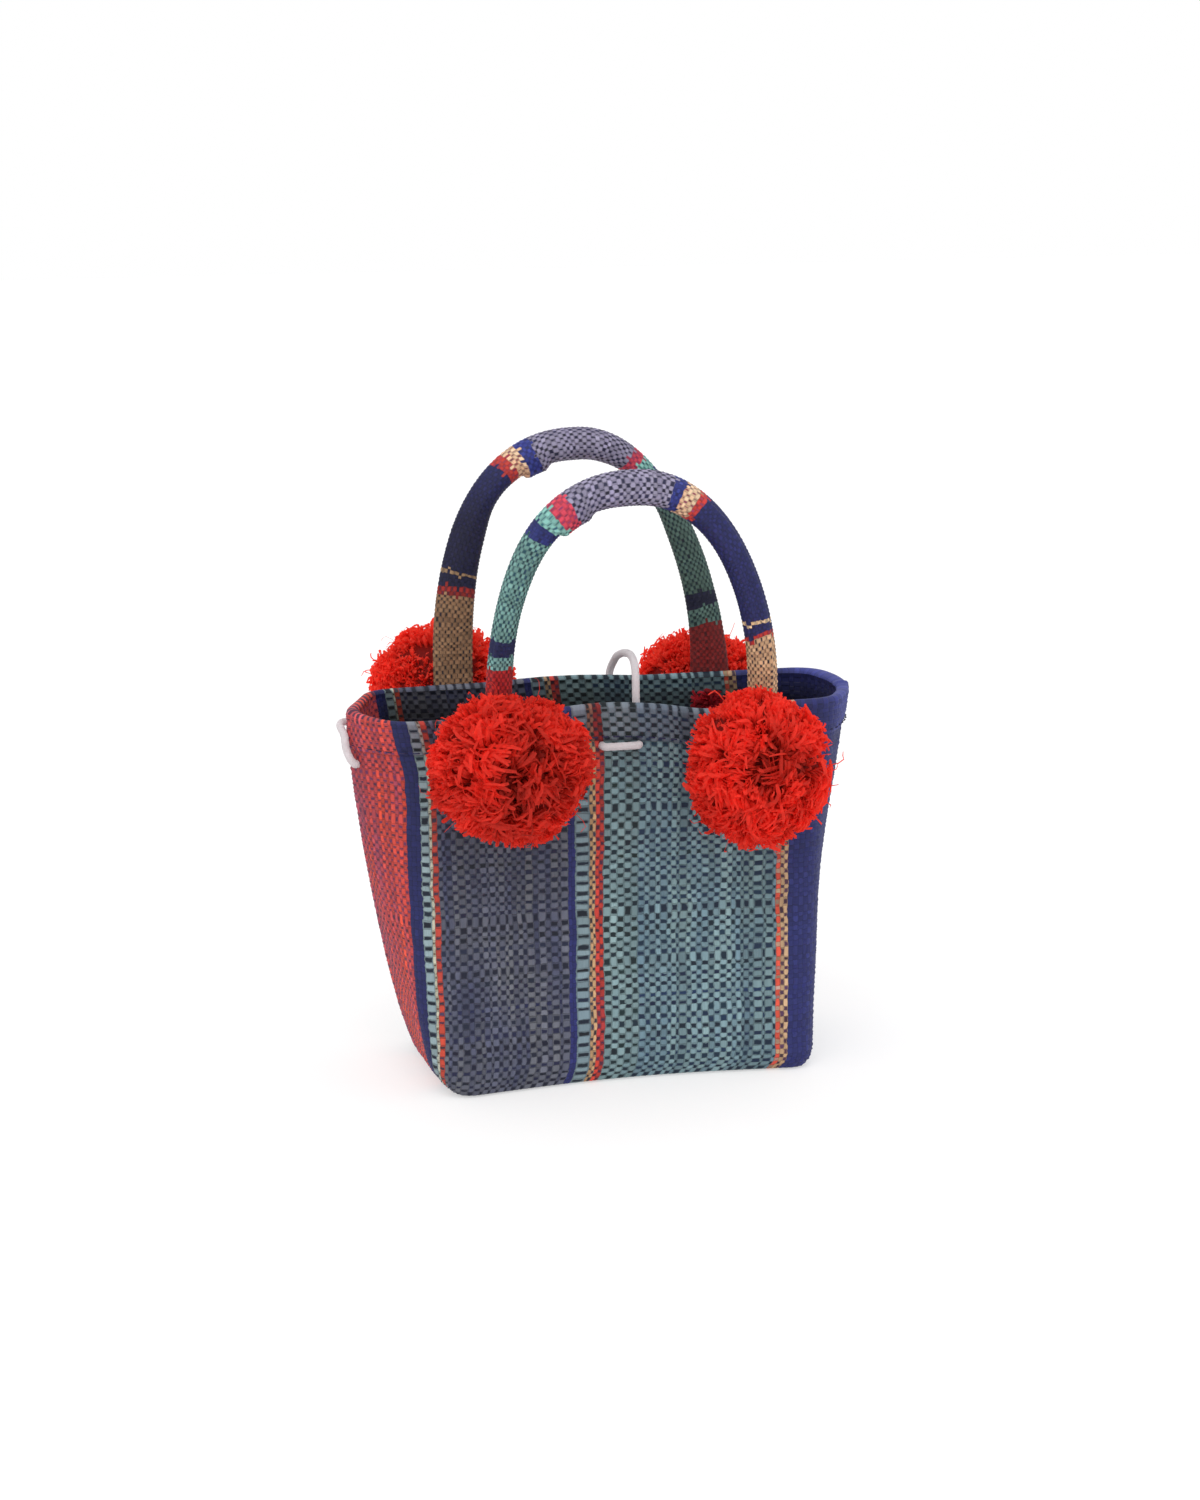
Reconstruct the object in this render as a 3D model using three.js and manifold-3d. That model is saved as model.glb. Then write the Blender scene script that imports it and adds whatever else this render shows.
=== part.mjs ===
// A small open tote bag of striped woven raffia with two rolled handles,
// four raffia pompoms over the handle feet and white tie cords.
// Millimetres; x runs to the right of the front wall, y to the back, z up from the base.
import * as THREE from 'three';
import { mergeVertices } from 'three/addons/utils/BufferGeometryUtils.js';
import Module from 'manifold-3d';

const wasm = await Module();
wasm.setup();

// Cloth body
const WALL = 2;
const RIM_HEIGHT = 172;
const HEM_HEIGHT = 16.5;
const HEM_STEP = 0.8;
const RIM_ROUND = 1.1;
const CLEARANCE = 0.35;

// The rim stands a little higher where the closure cord gathers it.
const RIM_RISE = { front: 3.5, back: 2.2, centre: -12, reach: 48, startsAt: 110 };

// Plan of the body at each height: the y of the front and back walls, the x of the
// four corners and of the two side seams, the y of the seams, how far the walls bow in
// at their middles, how much of each edge the rounded corners and seams take up,
// and how far the soft base is turned against the rim.
const SECTIONS = [
  { z: 0, front: -46.5, back: 45, frontLeft: -83, frontRight: 82, backLeft: -81, backRight: 82,
    seamLeft: -83.5, seamRight: 84, seamY: 0, bow: 7, corner: 8, seam: 24, turnDeg: 2.2 },
  { z: 5, front: -49, back: 47.5, frontLeft: -89, frontRight: 85.5, backLeft: -85, backRight: 87,
    seamLeft: -88, seamRight: 89, seamY: 0, bow: 7, corner: 11, seam: 24, turnDeg: 2.2 },
  { z: 14, front: -49.5, back: 48, frontLeft: -95, frontRight: 86.5, backLeft: -88, backRight: 90,
    seamLeft: -93.5, seamRight: 92.5, seamY: 0, bow: 6, corner: 14, seam: 24, turnDeg: 2 },
  { z: 40, front: -47.5, back: 46.5, frontLeft: -99.5, frontRight: 87, backLeft: -92, backRight: 95,
    seamLeft: -103, seamRight: 97, seamY: -1, bow: 4.5, corner: 14, seam: 22, turnDeg: 1.4 },
  { z: 75, front: -44.5, back: 44, frontLeft: -100, frontRight: 87.5, backLeft: -95, backRight: 98,
    seamLeft: -111.5, seamRight: 101, seamY: -3, bow: 3, corner: 12, seam: 20, turnDeg: 0.7 },
  { z: 110, front: -41.5, back: 41.5, frontLeft: -101, frontRight: 89, backLeft: -97, backRight: 101,
    seamLeft: -118, seamRight: 105.5, seamY: -5, bow: 2, corner: 11, seam: 15, turnDeg: 0 },
  { z: 145, front: -38.5, back: 38.5, frontLeft: -102.5, frontRight: 91, backLeft: -99, backRight: 105,
    seamLeft: -123.5, seamRight: 111, seamY: -11, bow: 1, corner: 11, seam: 9, turnDeg: 0 },
  { z: RIM_HEIGHT, front: -36.5, back: 36.5, frontLeft: -107, frontRight: 92, backLeft: -100, backRight: 108,
    seamLeft: -124.5, seamRight: 114.5, seamY: -13, bow: 0, corner: 12, seam: 9, turnDeg: 0 },
];
const CORNER_STEPS = 3;
const WALL_STEPS = 9;
const SIDE_STEPS = 3;

// Handles
const FOOT_LENGTH = 34;
const STRAP_DEPTH = 5;
const FOOT_DEPTH = 4;
const HANDLE_SIDES = 12;
const ARCH_STEPS = 36;
const FOOT_STEPS = 4;
const PAD_STEP = 2.4;

// Half widths towards the outside and inside of the arch and the full depth,
// by height as a share of the arch (0 at the rim, 1 at the top).
const LEG_SECTIONS = {
  front: [
    { rise: -0.4, outward: 7.4, inward: 7.4, depth: FOOT_DEPTH },
    { rise: 0, outward: 7.2, inward: 7.2, depth: STRAP_DEPTH },
    { rise: 0.35, outward: 6.9, inward: 6.4, depth: 8 },
    { rise: 0.6, outward: 6.8, inward: 6.2, depth: 10 },
    { rise: 0.8, outward: 7.2, inward: 6, depth: 12.5 },
    { rise: 1, outward: 8, inward: 7, depth: 15 },
  ],
  back: [
    { rise: -0.4, outward: 9.3, inward: 9.3, depth: FOOT_DEPTH },
    { rise: 0, outward: 9.2, inward: 9, depth: STRAP_DEPTH },
    { rise: 0.35, outward: 9.1, inward: 8.8, depth: 7.5 },
    { rise: 0.6, outward: 8.6, inward: 7.8, depth: 9.5 },
    { rise: 0.8, outward: 7.8, inward: 5.2, depth: 12 },
    { rise: 1, outward: 7.8, inward: 6.8, depth: 15 },
  ],
};
// Feet left and right of the middle, height of the arch above the rim, lean away from the
// bag, fullness of each shoulder, where the thick end of the padding begins and stops on
// the left, and how wide the left leg and the waist of the right leg are.
const HANDLES = {
  front: { side: -1, left: 60.5, right: 61.5, arch: 103.5, leanDeg: 7.6, fullLeft: 2.55, fullRight: 2,
    padFrom: 0.86, padTo: 0.965, leftLeg: 0.87, rightLeg: 1 },
  back: { side: 1, left: 64, right: 59.2, arch: 108.5, leanDeg: 6.7, fullLeft: 2.45, fullRight: 1.95,
    padFrom: 0.93, padTo: 0.98, leftLeg: 1, rightLeg: 0.78 },
};

// Pompoms: centre across and up the wall, and radius across and up.
const POMPOMS = {
  pompom_front_left: { side: -1, x: -61, z: 155, across: 37.5, up: 36.5, seed: 11 },
  pompom_front_right: { side: -1, x: 51.5, z: 149, across: 34.5, up: 37, seed: 23 },
  pompom_back_left: { side: 1, x: -62, z: 158.5, across: 36, up: 36, seed: 37 },
  pompom_back_right: { side: 1, x: 64, z: 152.5, across: 36, up: 36, seed: 51 },
};
const POMPOM_BACK_DEPTH = 24;
const POMPOM_FRONT_DEPTH = 32;
const CORE_SHARE = 0.8;
const CORE_SEGMENTS = { around: 12, upwards: 8 };
const FLAT_BACK_SIZE = 200;
const LOCK_COUNT = 28;
const LOCK_SIDES = 4;
const LOCK_ROOT = 3.5;
const LOCK_TIP = 9;
const LOCK_FLATTEN = 0.7;
const LOCK_LOWEST = -0.42;
const LOCK_UNEVEN = 0.1;

// White cord
const CORD_DIAMETER = 3.6;
const CORD_SIDES = 8;
const HOLE_SPARE = 0.7;
const STITCH = { left: -12.2, right: 4.8, z: 156 };
const BACK_HOLE = { x: 11, z: 154.5 };
const SIDE_STITCH = { front: 0.82, frontZ: 149, back: 0.2, backZ: 165.5 };
const TAIL = 9;
const KNOT = { radius: 2.8, around: 8, upwards: 4 };
const CORD_STEPS = { closure: 60, side: 30 };

const COLOURS = {
  raffia: { color: 0x5e7088, roughness: 0.78, metalness: 0 },
  handle: { color: 0x55608c, roughness: 0.78, metalness: 0 },
  pompom: { color: 0xd9281f, roughness: 0.75, metalness: 0 },
  cord: { color: 0xe8e2e2, roughness: 0.6, metalness: 0 },
};

// Smooth reading of a table: cubic between rows, with slopes taken from the neighbours.
function readTable(rows, key, at, column) {
  let i = 0;
  while (i < rows.length - 2 && at > rows[i + 1][key]) i += 1;
  const slope = (k) => {
    const low = rows[Math.max(k - 1, 0)];
    const high = rows[Math.min(k + 1, rows.length - 1)];
    return (high[column] - low[column]) / (high[key] - low[key]);
  };
  const width = rows[i + 1][key] - rows[i][key];
  const t = THREE.MathUtils.clamp((at - rows[i][key]) / width, 0, 1);
  const t2 = t * t;
  const t3 = t2 * t;
  return (2 * t3 - 3 * t2 + 1) * rows[i][column] + (t3 - 2 * t2 + t) * width * slope(i)
    + (3 * t2 - 2 * t3) * rows[i + 1][column] + (t3 - t2) * width * slope(i + 1);
}

const ORIGIN = new THREE.Vector2();
const section = (z, column) => readTable(SECTIONS, 'z', z, column);

function rimRise(x, y, z) {
  const weight = THREE.MathUtils.smoothstep(z, RIM_RISE.startsAt, RIM_HEIGHT);
  const share = Math.min(Math.abs(x - RIM_RISE.centre) / RIM_RISE.reach, 1);
  return weight * (y < 0 ? RIM_RISE.front : RIM_RISE.back) * 0.5 * (1 + Math.cos(Math.PI * share));
}

// Closed outline of the body at one height, moved inwards by an inset.
function outline(z, inset) {
  const at = (column) => section(z, column);
  const turn = THREE.MathUtils.degToRad(at('turnDeg'));
  const place = (x, y, cut, steps, bow) => (
    { point: new THREE.Vector2(at(x), at(y)), cut: at(cut), steps, bow }
  );
  const corners = [
    place('frontLeft', 'front', 'corner', WALL_STEPS, at('bow')),
    place('frontRight', 'front', 'corner', SIDE_STEPS, 0),
    place('seamRight', 'seamY', 'seam', SIDE_STEPS, 0),
    place('backRight', 'back', 'corner', WALL_STEPS, -at('bow')),
    place('backLeft', 'back', 'corner', SIDE_STEPS, 0),
    place('seamLeft', 'seamY', 'seam', SIDE_STEPS, 0),
  ];
  const rounded = corners.map((corner, i) => {
    const towards = (other) => other.point.clone().sub(corner.point).setLength(corner.cut).add(corner.point);
    const from = towards(corners[(i + corners.length - 1) % corners.length]);
    const to = towards(corners[(i + 1) % corners.length]);
    return new THREE.QuadraticBezierCurve(from, corner.point, to).getPoints(CORNER_STEPS);
  });
  const points = [];
  corners.forEach((corner, i) => {
    points.push(...rounded[i]);
    const from = rounded[i][CORNER_STEPS];
    const to = rounded[(i + 1) % corners.length][0];
    for (let k = 1; k <= corner.steps; k += 1) {
      const t = k / (corner.steps + 1);
      const point = from.clone().lerp(to, t);
      point.y += corner.bow * Math.sin(Math.PI * t);
      points.push(point);
    }
  });
  return points.map((point, i) => {
    const before = points[(i + points.length - 1) % points.length];
    const after = points[(i + 1) % points.length];
    const inward = new THREE.Vector2(before.y - after.y, after.x - before.x).normalize();
    return point.clone().addScaledVector(inward, inset).rotateAround(ORIGIN, turn);
  });
}

// Solid through a list of rings of equal length, closed by a fan at each end.
function loft(rings) {
  const size = rings[0].length;
  const positions = [];
  const index = [];
  rings.forEach((ring) => ring.forEach((p) => positions.push(p.x, p.y, p.z)));
  for (let r = 0; r < rings.length - 1; r += 1) {
    for (let i = 0; i < size; i += 1) {
      const a = r * size + i;
      const b = r * size + ((i + 1) % size);
      index.push(a, b, a + size, b, b + size, a + size);
    }
  }
  const cap = (ring, offset, flip) => {
    const centre = ring.reduce((sum, p) => sum.add(p), new THREE.Vector3()).divideScalar(size);
    const hub = positions.length / 3;
    positions.push(centre.x, centre.y, centre.z);
    for (let i = 0; i < size; i += 1) {
      const a = offset + i;
      const b = offset + ((i + 1) % size);
      index.push(hub, flip ? b : a, flip ? a : b);
    }
  };
  cap(rings[0], 0, true);
  cap(rings[rings.length - 1], (rings.length - 1) * size, false);
  const geometry = new THREE.BufferGeometry();
  geometry.setAttribute('position', new THREE.Float32BufferAttribute(positions, 3));
  geometry.setIndex(index);
  return geometry;
}

function toSolid(geometry) {
  const plain = geometry.clone();
  plain.deleteAttribute('normal');
  plain.deleteAttribute('uv');
  const merged = mergeVertices(plain, 1e-4);
  return new wasm.Manifold(new wasm.Mesh({
    numProp: 3,
    vertProperties: new Float32Array(merged.attributes.position.array),
    triVerts: new Uint32Array(merged.index.array),
  }));
}

function fromSolid(solid) {
  const mesh = solid.getMesh();
  const geometry = new THREE.BufferGeometry();
  geometry.setAttribute('position', new THREE.BufferAttribute(new Float32Array(mesh.vertProperties), 3));
  geometry.setIndex(new THREE.BufferAttribute(new Uint32Array(mesh.triVerts), 1));
  return geometry;
}

// y of the outside of the front wall (side -1) or back wall (side 1), hem included.
function wallFace(side, x, z) {
  const wall = side < 0 ? 'front' : 'back';
  const left = section(z, `${wall}Left`) + section(z, 'corner');
  const right = section(z, `${wall}Right`) - section(z, 'corner');
  const share = THREE.MathUtils.clamp((x - left) / (right - left), 0, 1);
  const hem = z > RIM_HEIGHT - HEM_HEIGHT ? HEM_STEP : 0;
  return section(z, wall) + side * (hem - section(z, 'bow') * Math.sin(Math.PI * share));
}

// y at a depth into the strap that lies over the wall and hem on one side.
function strapFace(side, x, z, depth) {
  const hem = z > RIM_HEIGHT - HEM_HEIGHT ? 0 : HEM_STEP;
  return wallFace(side, x, z) + side * (hem + CLEARANCE + depth);
}

// Point on the flat between two upright edges of the body, at a share of the way, and its outward direction.
function onFlat(start, end, along, z) {
  const from = new THREE.Vector3(section(z, start[0]), section(z, start[1]), z);
  const to = new THREE.Vector3(section(z, end[0]), section(z, end[1]), z);
  const outward = new THREE.Vector3(from.y - to.y, to.x - from.x, 0).normalize();
  return { point: from.lerp(to, along), outward };
}

// The left side: from the front corner (0) to the seam (1), and from the seam (0) to the back corner (1).
const leftFront = (along, z) => onFlat(['frontLeft', 'front'], ['seamLeft', 'seamY'], along, z);
const leftBack = (along, z) => onFlat(['seamLeft', 'seamY'], ['backLeft', 'back'], along, z);

function bodyShell() {
  const hemFoot = RIM_HEIGHT - HEM_HEIGHT;
  const wallHeights = SECTIONS.map((row) => row.z).filter((z) => z < hemFoot);
  const outside = wallHeights.map((z) => ({ z, inset: 0 }));
  outside.push({ z: hemFoot, inset: 0 });
  outside.push({ z: hemFoot, inset: -HEM_STEP });
  outside.push({ z: RIM_HEIGHT - RIM_ROUND, inset: -HEM_STEP });
  outside.push({ z: RIM_HEIGHT, inset: -HEM_STEP + RIM_ROUND });
  const inside = [
    { z: RIM_HEIGHT, inset: WALL - RIM_ROUND },
    { z: RIM_HEIGHT - RIM_ROUND, inset: WALL },
  ];
  inside.push(...wallHeights.filter((z) => z > WALL).reverse().map((z) => ({ z, inset: WALL })));
  inside.push({ z: WALL, inset: 2 * WALL });
  const rings = [...outside, ...inside].map(({ z, inset }) => outline(z, inset).map(
    (p) => new THREE.Vector3(p.x, p.y, z + rimRise(p.x, p.y, z)),
  ));
  return loft(rings);
}

function holeThrough(point, direction) {
  const length = 6 * WALL;
  const radius = CORD_DIAMETER / 2 + HOLE_SPARE;
  const hole = new THREE.CylinderGeometry(radius, radius, length, CORD_SIDES + 4);
  const turn = new THREE.Quaternion().setFromUnitVectors(new THREE.Vector3(0, 1, 0), direction);
  hole.applyQuaternion(turn);
  hole.translate(point.x, point.y, point.z);
  return toSolid(hole);
}

const ACROSS = new THREE.Vector3(0, 1, 0);
const frontHole = (x) => new THREE.Vector3(x, wallFace(-1, x, STITCH.z) + WALL / 2, STITCH.z);
const backHoleY = wallFace(1, BACK_HOLE.x, BACK_HOLE.z) - WALL / 2;
const backHole = new THREE.Vector3(BACK_HOLE.x, backHoleY, BACK_HOLE.z);
const sideHoles = [
  leftFront(SIDE_STITCH.front, SIDE_STITCH.frontZ),
  leftBack(SIDE_STITCH.back, SIDE_STITCH.backZ),
];

function bagBody() {
  const holes = [
    holeThrough(frontHole(STITCH.left), ACROSS),
    holeThrough(frontHole(STITCH.right), ACROSS),
    holeThrough(backHole, ACROSS),
    ...sideHoles.map(({ point, outward }) => holeThrough(point, outward)),
  ];
  return fromSolid(holes.reduce((body, hole) => body.subtract(hole), toSolid(bodyShell())));
}

// Stations along a handle from the left foot over the arch to the right foot.
function handleStations(handle) {
  const lean = THREE.MathUtils.degToRad(handle.leanDeg);
  const stations = [];
  const foot = (x, k) => {
    const rise = -FOOT_LENGTH * (1 - k / FOOT_STEPS);
    const z = RIM_HEIGHT + rise;
    return { point: new THREE.Vector3(x, strapFace(handle.side, x, z, STRAP_DEPTH / 2), z), rise, lean: 0 };
  };
  for (let k = 0; k < FOOT_STEPS; k += 1) stations.push(foot(-handle.left, k));
  const baseY = foot(handle.right, FOOT_STEPS).point.y;
  for (let k = 0; k <= ARCH_STEPS; k += 1) {
    const turn = Math.PI * (1 - k / ARCH_STEPS);
    const onLeft = Math.cos(turn) < 0;
    const power = 2 / (onLeft ? handle.fullLeft : handle.fullRight);
    const reach = onLeft ? -handle.left : handle.right;
    const x = reach * Math.abs(Math.cos(turn)) ** power;
    const rise = handle.arch * Math.sin(turn) ** power;
    const y = baseY + handle.side * rise * Math.sin(lean);
    const z = RIM_HEIGHT + rise * Math.cos(lean);
    stations.push({ point: new THREE.Vector3(x, y, z), rise, lean: handle.side * lean });
  }
  for (let k = FOOT_STEPS - 1; k >= 0; k -= 1) stations.push(foot(handle.right, k));
  return stations;
}

function handleSolid(name) {
  const handle = HANDLES[name];
  const rows = LEG_SECTIONS[name];
  const stations = handleStations(handle);
  const rings = stations.map(({ point, rise, lean }, i) => {
    const before = stations[Math.max(i - 1, 0)].point;
    const after = stations[Math.min(i + 1, stations.length - 1)].point;
    const tangent = after.clone().sub(before).normalize();
    const facing = new THREE.Vector3(0, Math.cos(lean), -Math.sin(lean));
    const outward = new THREE.Vector3().crossVectors(tangent, facing).normalize();
    const share = rise / handle.arch;
    const padded = point.x < 0 && share > handle.padFrom && share < handle.padTo;
    const height = THREE.MathUtils.clamp(share, 0, 1);
    const leg = point.x < 0
      ? THREE.MathUtils.lerp(1, handle.leftLeg, Math.sqrt(1 - height))
      : THREE.MathUtils.lerp(1, handle.rightLeg, Math.sin(Math.PI * height));
    const out = leg * readTable(rows, 'rise', share, 'outward');
    const inw = leg * readTable(rows, 'rise', share, 'inward') + (padded ? PAD_STEP : 0);
    const depth = readTable(rows, 'rise', share, 'depth');
    const ring = [];
    for (let k = 0; k < HANDLE_SIDES; k += 1) {
      const angle = (2 * Math.PI * k) / HANDLE_SIDES;
      const across = Math.cos(angle) * (Math.cos(angle) > 0 ? out : inw);
      ring.push(point.clone()
        .addScaledVector(outward, across)
        .addScaledVector(facing, -Math.sin(angle) * depth / 2));
    }
    return ring;
  });
  return loft(rings);
}

// Small repeatable source of uneven numbers between 0 and 1.
function unevenness(seed) {
  let state = seed;
  return () => {
    state = (state * 16807) % 2147483647;
    return state / 2147483647;
  };
}

function pompom(place) {
  const uneven = unevenness(place.seed);
  const seat = (z) => strapFace(place.side, place.x, z, (STRAP_DEPTH + FOOT_DEPTH) / 2 + CLEARANCE);
  const footEnd = RIM_HEIGHT - FOOT_LENGTH;
  const slope = (seat(RIM_HEIGHT) - seat(footEnd)) / FOOT_LENGTH;
  const backY = seat(footEnd) + slope * (place.z - footEnd);
  const centre = new THREE.Vector3(place.x, backY + place.side * POMPOM_BACK_DEPTH, place.z);
  const radii = new THREE.Vector3(place.across, POMPOM_FRONT_DEPTH, place.up);
  const core = new THREE.SphereGeometry(1, CORE_SEGMENTS.around, CORE_SEGMENTS.upwards);
  core.scale(radii.x * CORE_SHARE, radii.y * CORE_SHARE, radii.z * CORE_SHARE);
  core.translate(centre.x, centre.y, centre.z);
  const solids = [toSolid(core)];
  const up = new THREE.Vector3(0, 1, 0);
  const golden = Math.PI * (3 - Math.sqrt(5));
  for (let i = 0; i < LOCK_COUNT; i += 1) {
    const facing = 1 - (1 - LOCK_LOWEST) * (i + 0.5) / LOCK_COUNT;
    const ring = Math.sqrt(1 - facing * facing);
    const turn = golden * i;
    const direction = new THREE.Vector3(
      ring * Math.cos(turn) * radii.x,
      place.side * facing * radii.y,
      ring * Math.sin(turn) * radii.z,
    );
    const reach = direction.length() * (1 - LOCK_UNEVEN * uneven());
    const lock = new THREE.CylinderGeometry(LOCK_TIP, LOCK_ROOT, reach, LOCK_SIDES);
    lock.translate(0, reach / 2, 0);
    lock.scale(1, 1, LOCK_FLATTEN + (1 - LOCK_FLATTEN) * uneven());
    lock.rotateY(2 * Math.PI * uneven());
    lock.applyQuaternion(new THREE.Quaternion().setFromUnitVectors(up, direction.normalize()));
    lock.translate(centre.x, centre.y, centre.z);
    solids.push(toSolid(lock));
  }
  const behind = new THREE.BoxGeometry(FLAT_BACK_SIZE, FLAT_BACK_SIZE, FLAT_BACK_SIZE);
  behind.translate(0, -place.side * FLAT_BACK_SIZE / 2, 0);
  behind.rotateX(-Math.atan(slope));
  behind.translate(centre.x, backY, centre.z);
  return fromSolid(wasm.Manifold.union(solids).subtract(toSolid(behind)));
}

// Round cord through a list of points with a stopper knot at each end.
function cordAlong(points, steps) {
  const circle = new THREE.Shape();
  for (let k = 0; k < CORD_SIDES; k += 1) {
    const angle = (2 * Math.PI * k) / CORD_SIDES;
    const x = (CORD_DIAMETER / 2) * Math.cos(angle);
    const y = (CORD_DIAMETER / 2) * Math.sin(angle);
    if (k === 0) circle.moveTo(x, y);
    else circle.lineTo(x, y);
  }
  circle.closePath();
  const route = new THREE.CatmullRomCurve3(points, false, 'centripetal');
  const tube = new THREE.ExtrudeGeometry(circle, { steps, extrudePath: route, bevelEnabled: false });
  const ends = [points[0], points[points.length - 1]];
  const knots = ends.map((end) => {
    const knot = new THREE.SphereGeometry(KNOT.radius, KNOT.around, KNOT.upwards);
    return toSolid(knot.translate(end.x, end.y, end.z));
  });
  return fromSolid(wasm.Manifold.union([toSolid(tube), ...knots]));
}

// From a tail inside out through the left hole, along the front, in through the right hole,
// over the mouth and in through the back wall.
function closureCord() {
  const off = CORD_DIAMETER / 2 + CLEARANCE;
  const front = (x) => wallFace(-1, x, STITCH.z) - off;
  const inFront = (x, z) => wallFace(-1, x, z) + HEM_STEP + WALL + off;
  const outBack = (x, z) => wallFace(1, x, Math.max(z, RIM_HEIGHT - HEM_HEIGHT / 2)) + off;
  const { left, right, z } = STITCH;
  const rim = RIM_HEIGHT + RIM_RISE.front;
  const points = [
    [left, inFront(left, z) + 3.5, z - TAIL],
    [left, inFront(left, z) + 2, z - 3],
    [left, inFront(left, z) - 1, z],
    [left + 0.6, front(left) + 0.6, z],
    [left + 4, front(left + 4), z],
    [(left + right) / 2, front((left + right) / 2), z],
    [right - 4, front(right - 4), z],
    [right - 0.6, front(right) + 0.6, z],
    [right, inFront(right, z) - 1, z],
    [right + 0.2, inFront(right, z) + 2.2, z + 3],
    [right + 0.4, inFront(right, rim) + 1.6, rim - 6],
    [right + 0.2, inFront(right, rim) + 1.4, rim + 4],
    [right + 0.2, inFront(right, rim) + 2, rim + 11],
    [right + 0.5, inFront(right, rim) + 5.8, rim + 15.6],
    [right + 1.5, -17, rim + 17.1],
    [right + 3.4, 2, rim + 14.6],
    [right + 4.5, 16, rim + 11.2],
    [right + 5.5, 28, rim + 6.9],
    [BACK_HOLE.x - 0.4, outBack(BACK_HOLE.x, rim) + 0.8, rim - 3],
    [BACK_HOLE.x, outBack(BACK_HOLE.x, rim) + 1.6, RIM_HEIGHT - 9],
    [BACK_HOLE.x, outBack(BACK_HOLE.x, BACK_HOLE.z) + 0.4, BACK_HOLE.z + 1.5],
    [BACK_HOLE.x, backHole.y, BACK_HOLE.z],
    [BACK_HOLE.x, backHole.y - WALL - 3, BACK_HOLE.z - 2],
    [BACK_HOLE.x, backHole.y - WALL - 4, BACK_HOLE.z - TAIL],
  ];
  return cordAlong(points.map((p) => new THREE.Vector3(...p)), CORD_STEPS.closure);
}

// Out through the back half of the left side, round the seam and down, and in through the front half.
function sideCord() {
  const off = CORD_DIAMETER / 2 + CLEARANCE;
  const overHem = off + HEM_STEP;
  const moved = ({ point, outward }, out) => point.addScaledVector(outward, out);
  const behind = (along, z, out) => moved(leftBack(along, z), out);
  const before = (along, z, out) => moved(leftFront(along, z), out);
  const { front, frontZ, back, backZ } = SIDE_STITCH;
  const points = [
    behind(back + 0.06, backZ - TAIL, -WALL - off - 2),
    behind(back + 0.03, backZ - 2.5, -WALL - off - 1),
    behind(back, backZ, -WALL),
    behind(back, backZ, overHem - 0.4),
    behind(back - 0.08, backZ - 0.5, overHem + 1),
    before(1, backZ - 4, overHem - 2),
    before(0.95, backZ - 10, overHem - 1.3),
    before(front + 0.04, frontZ + 1.8, off - 0.1),
    before(front, frontZ, off - 1.2),
    before(front, frontZ, -WALL),
    before(front - 0.03, frontZ - 2.5, -WALL - off - 1),
    before(front - 0.06, frontZ - TAIL, -WALL - off - 2),
  ];
  return cordAlong(points, CORD_STEPS.side);
}

function piece(name, geometry, look) {
  const mesh = new THREE.Mesh(geometry, new THREE.MeshStandardMaterial(look));
  mesh.name = name;
  return mesh;
}

const bag = new THREE.Group();
bag.name = 'raffia_bag';
bag.add(piece('bag_body', bagBody(), COLOURS.raffia));
bag.add(piece('handle_front', handleSolid('front'), COLOURS.handle));
bag.add(piece('handle_back', handleSolid('back'), COLOURS.handle));
Object.entries(POMPOMS).forEach(([name, place]) => bag.add(piece(name, pompom(place), COLOURS.pompom)));
bag.add(piece('closure_cord', closureCord(), COLOURS.cord));
bag.add(piece('side_cord', sideCord(), COLOURS.cord));

export default bag;
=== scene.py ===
import math

import bpy
import numpy as np
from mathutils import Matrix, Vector


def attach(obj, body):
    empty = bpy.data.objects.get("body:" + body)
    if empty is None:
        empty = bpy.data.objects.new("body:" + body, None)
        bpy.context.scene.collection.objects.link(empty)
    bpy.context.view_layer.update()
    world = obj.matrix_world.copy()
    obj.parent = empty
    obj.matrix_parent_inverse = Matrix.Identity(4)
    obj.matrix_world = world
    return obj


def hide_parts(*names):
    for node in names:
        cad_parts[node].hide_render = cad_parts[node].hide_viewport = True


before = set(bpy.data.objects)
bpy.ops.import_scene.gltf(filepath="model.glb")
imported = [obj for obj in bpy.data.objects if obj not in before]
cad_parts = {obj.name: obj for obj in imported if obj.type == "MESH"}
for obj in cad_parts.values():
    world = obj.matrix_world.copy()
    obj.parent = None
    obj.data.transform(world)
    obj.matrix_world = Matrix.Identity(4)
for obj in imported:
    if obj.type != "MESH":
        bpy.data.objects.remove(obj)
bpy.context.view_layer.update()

# Sizes are in millimetres up to the meshes, which are in metres.
MM = 0.001
# Upwards, and a direction that no cord or stitch starts along
UP = (0.0, 0.0, 1.0)
ASKEW = (0.3, 0.5, 0.8)

# Photo camera, floor and light, with places in metres and turns in degrees
CAMERA_AZIMUTH = -14.0
CAMERA_ELEVATION = 12.6
CAMERA_DISTANCE = 1.677
CAMERA_TARGET = Vector((-0.0039, 0.0, 0.1456))
CAMERA_LENS = 87.6
CAMERA_SENSOR = 36.0
FLOOR_SIZE = 8.0
FLOOR_Z = -0.0004
FLOOR_GREY = 0.5
FLOOR_GLOW = 0.5
FLOOR_ROUGHNESS, FLOOR_SPECULAR = 0.75, 0.1
SUN_WAY = (0.35, 0.75, -1.0)
SUN_ENERGY = 0.9
SUN_ANGLE = 40.0

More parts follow.
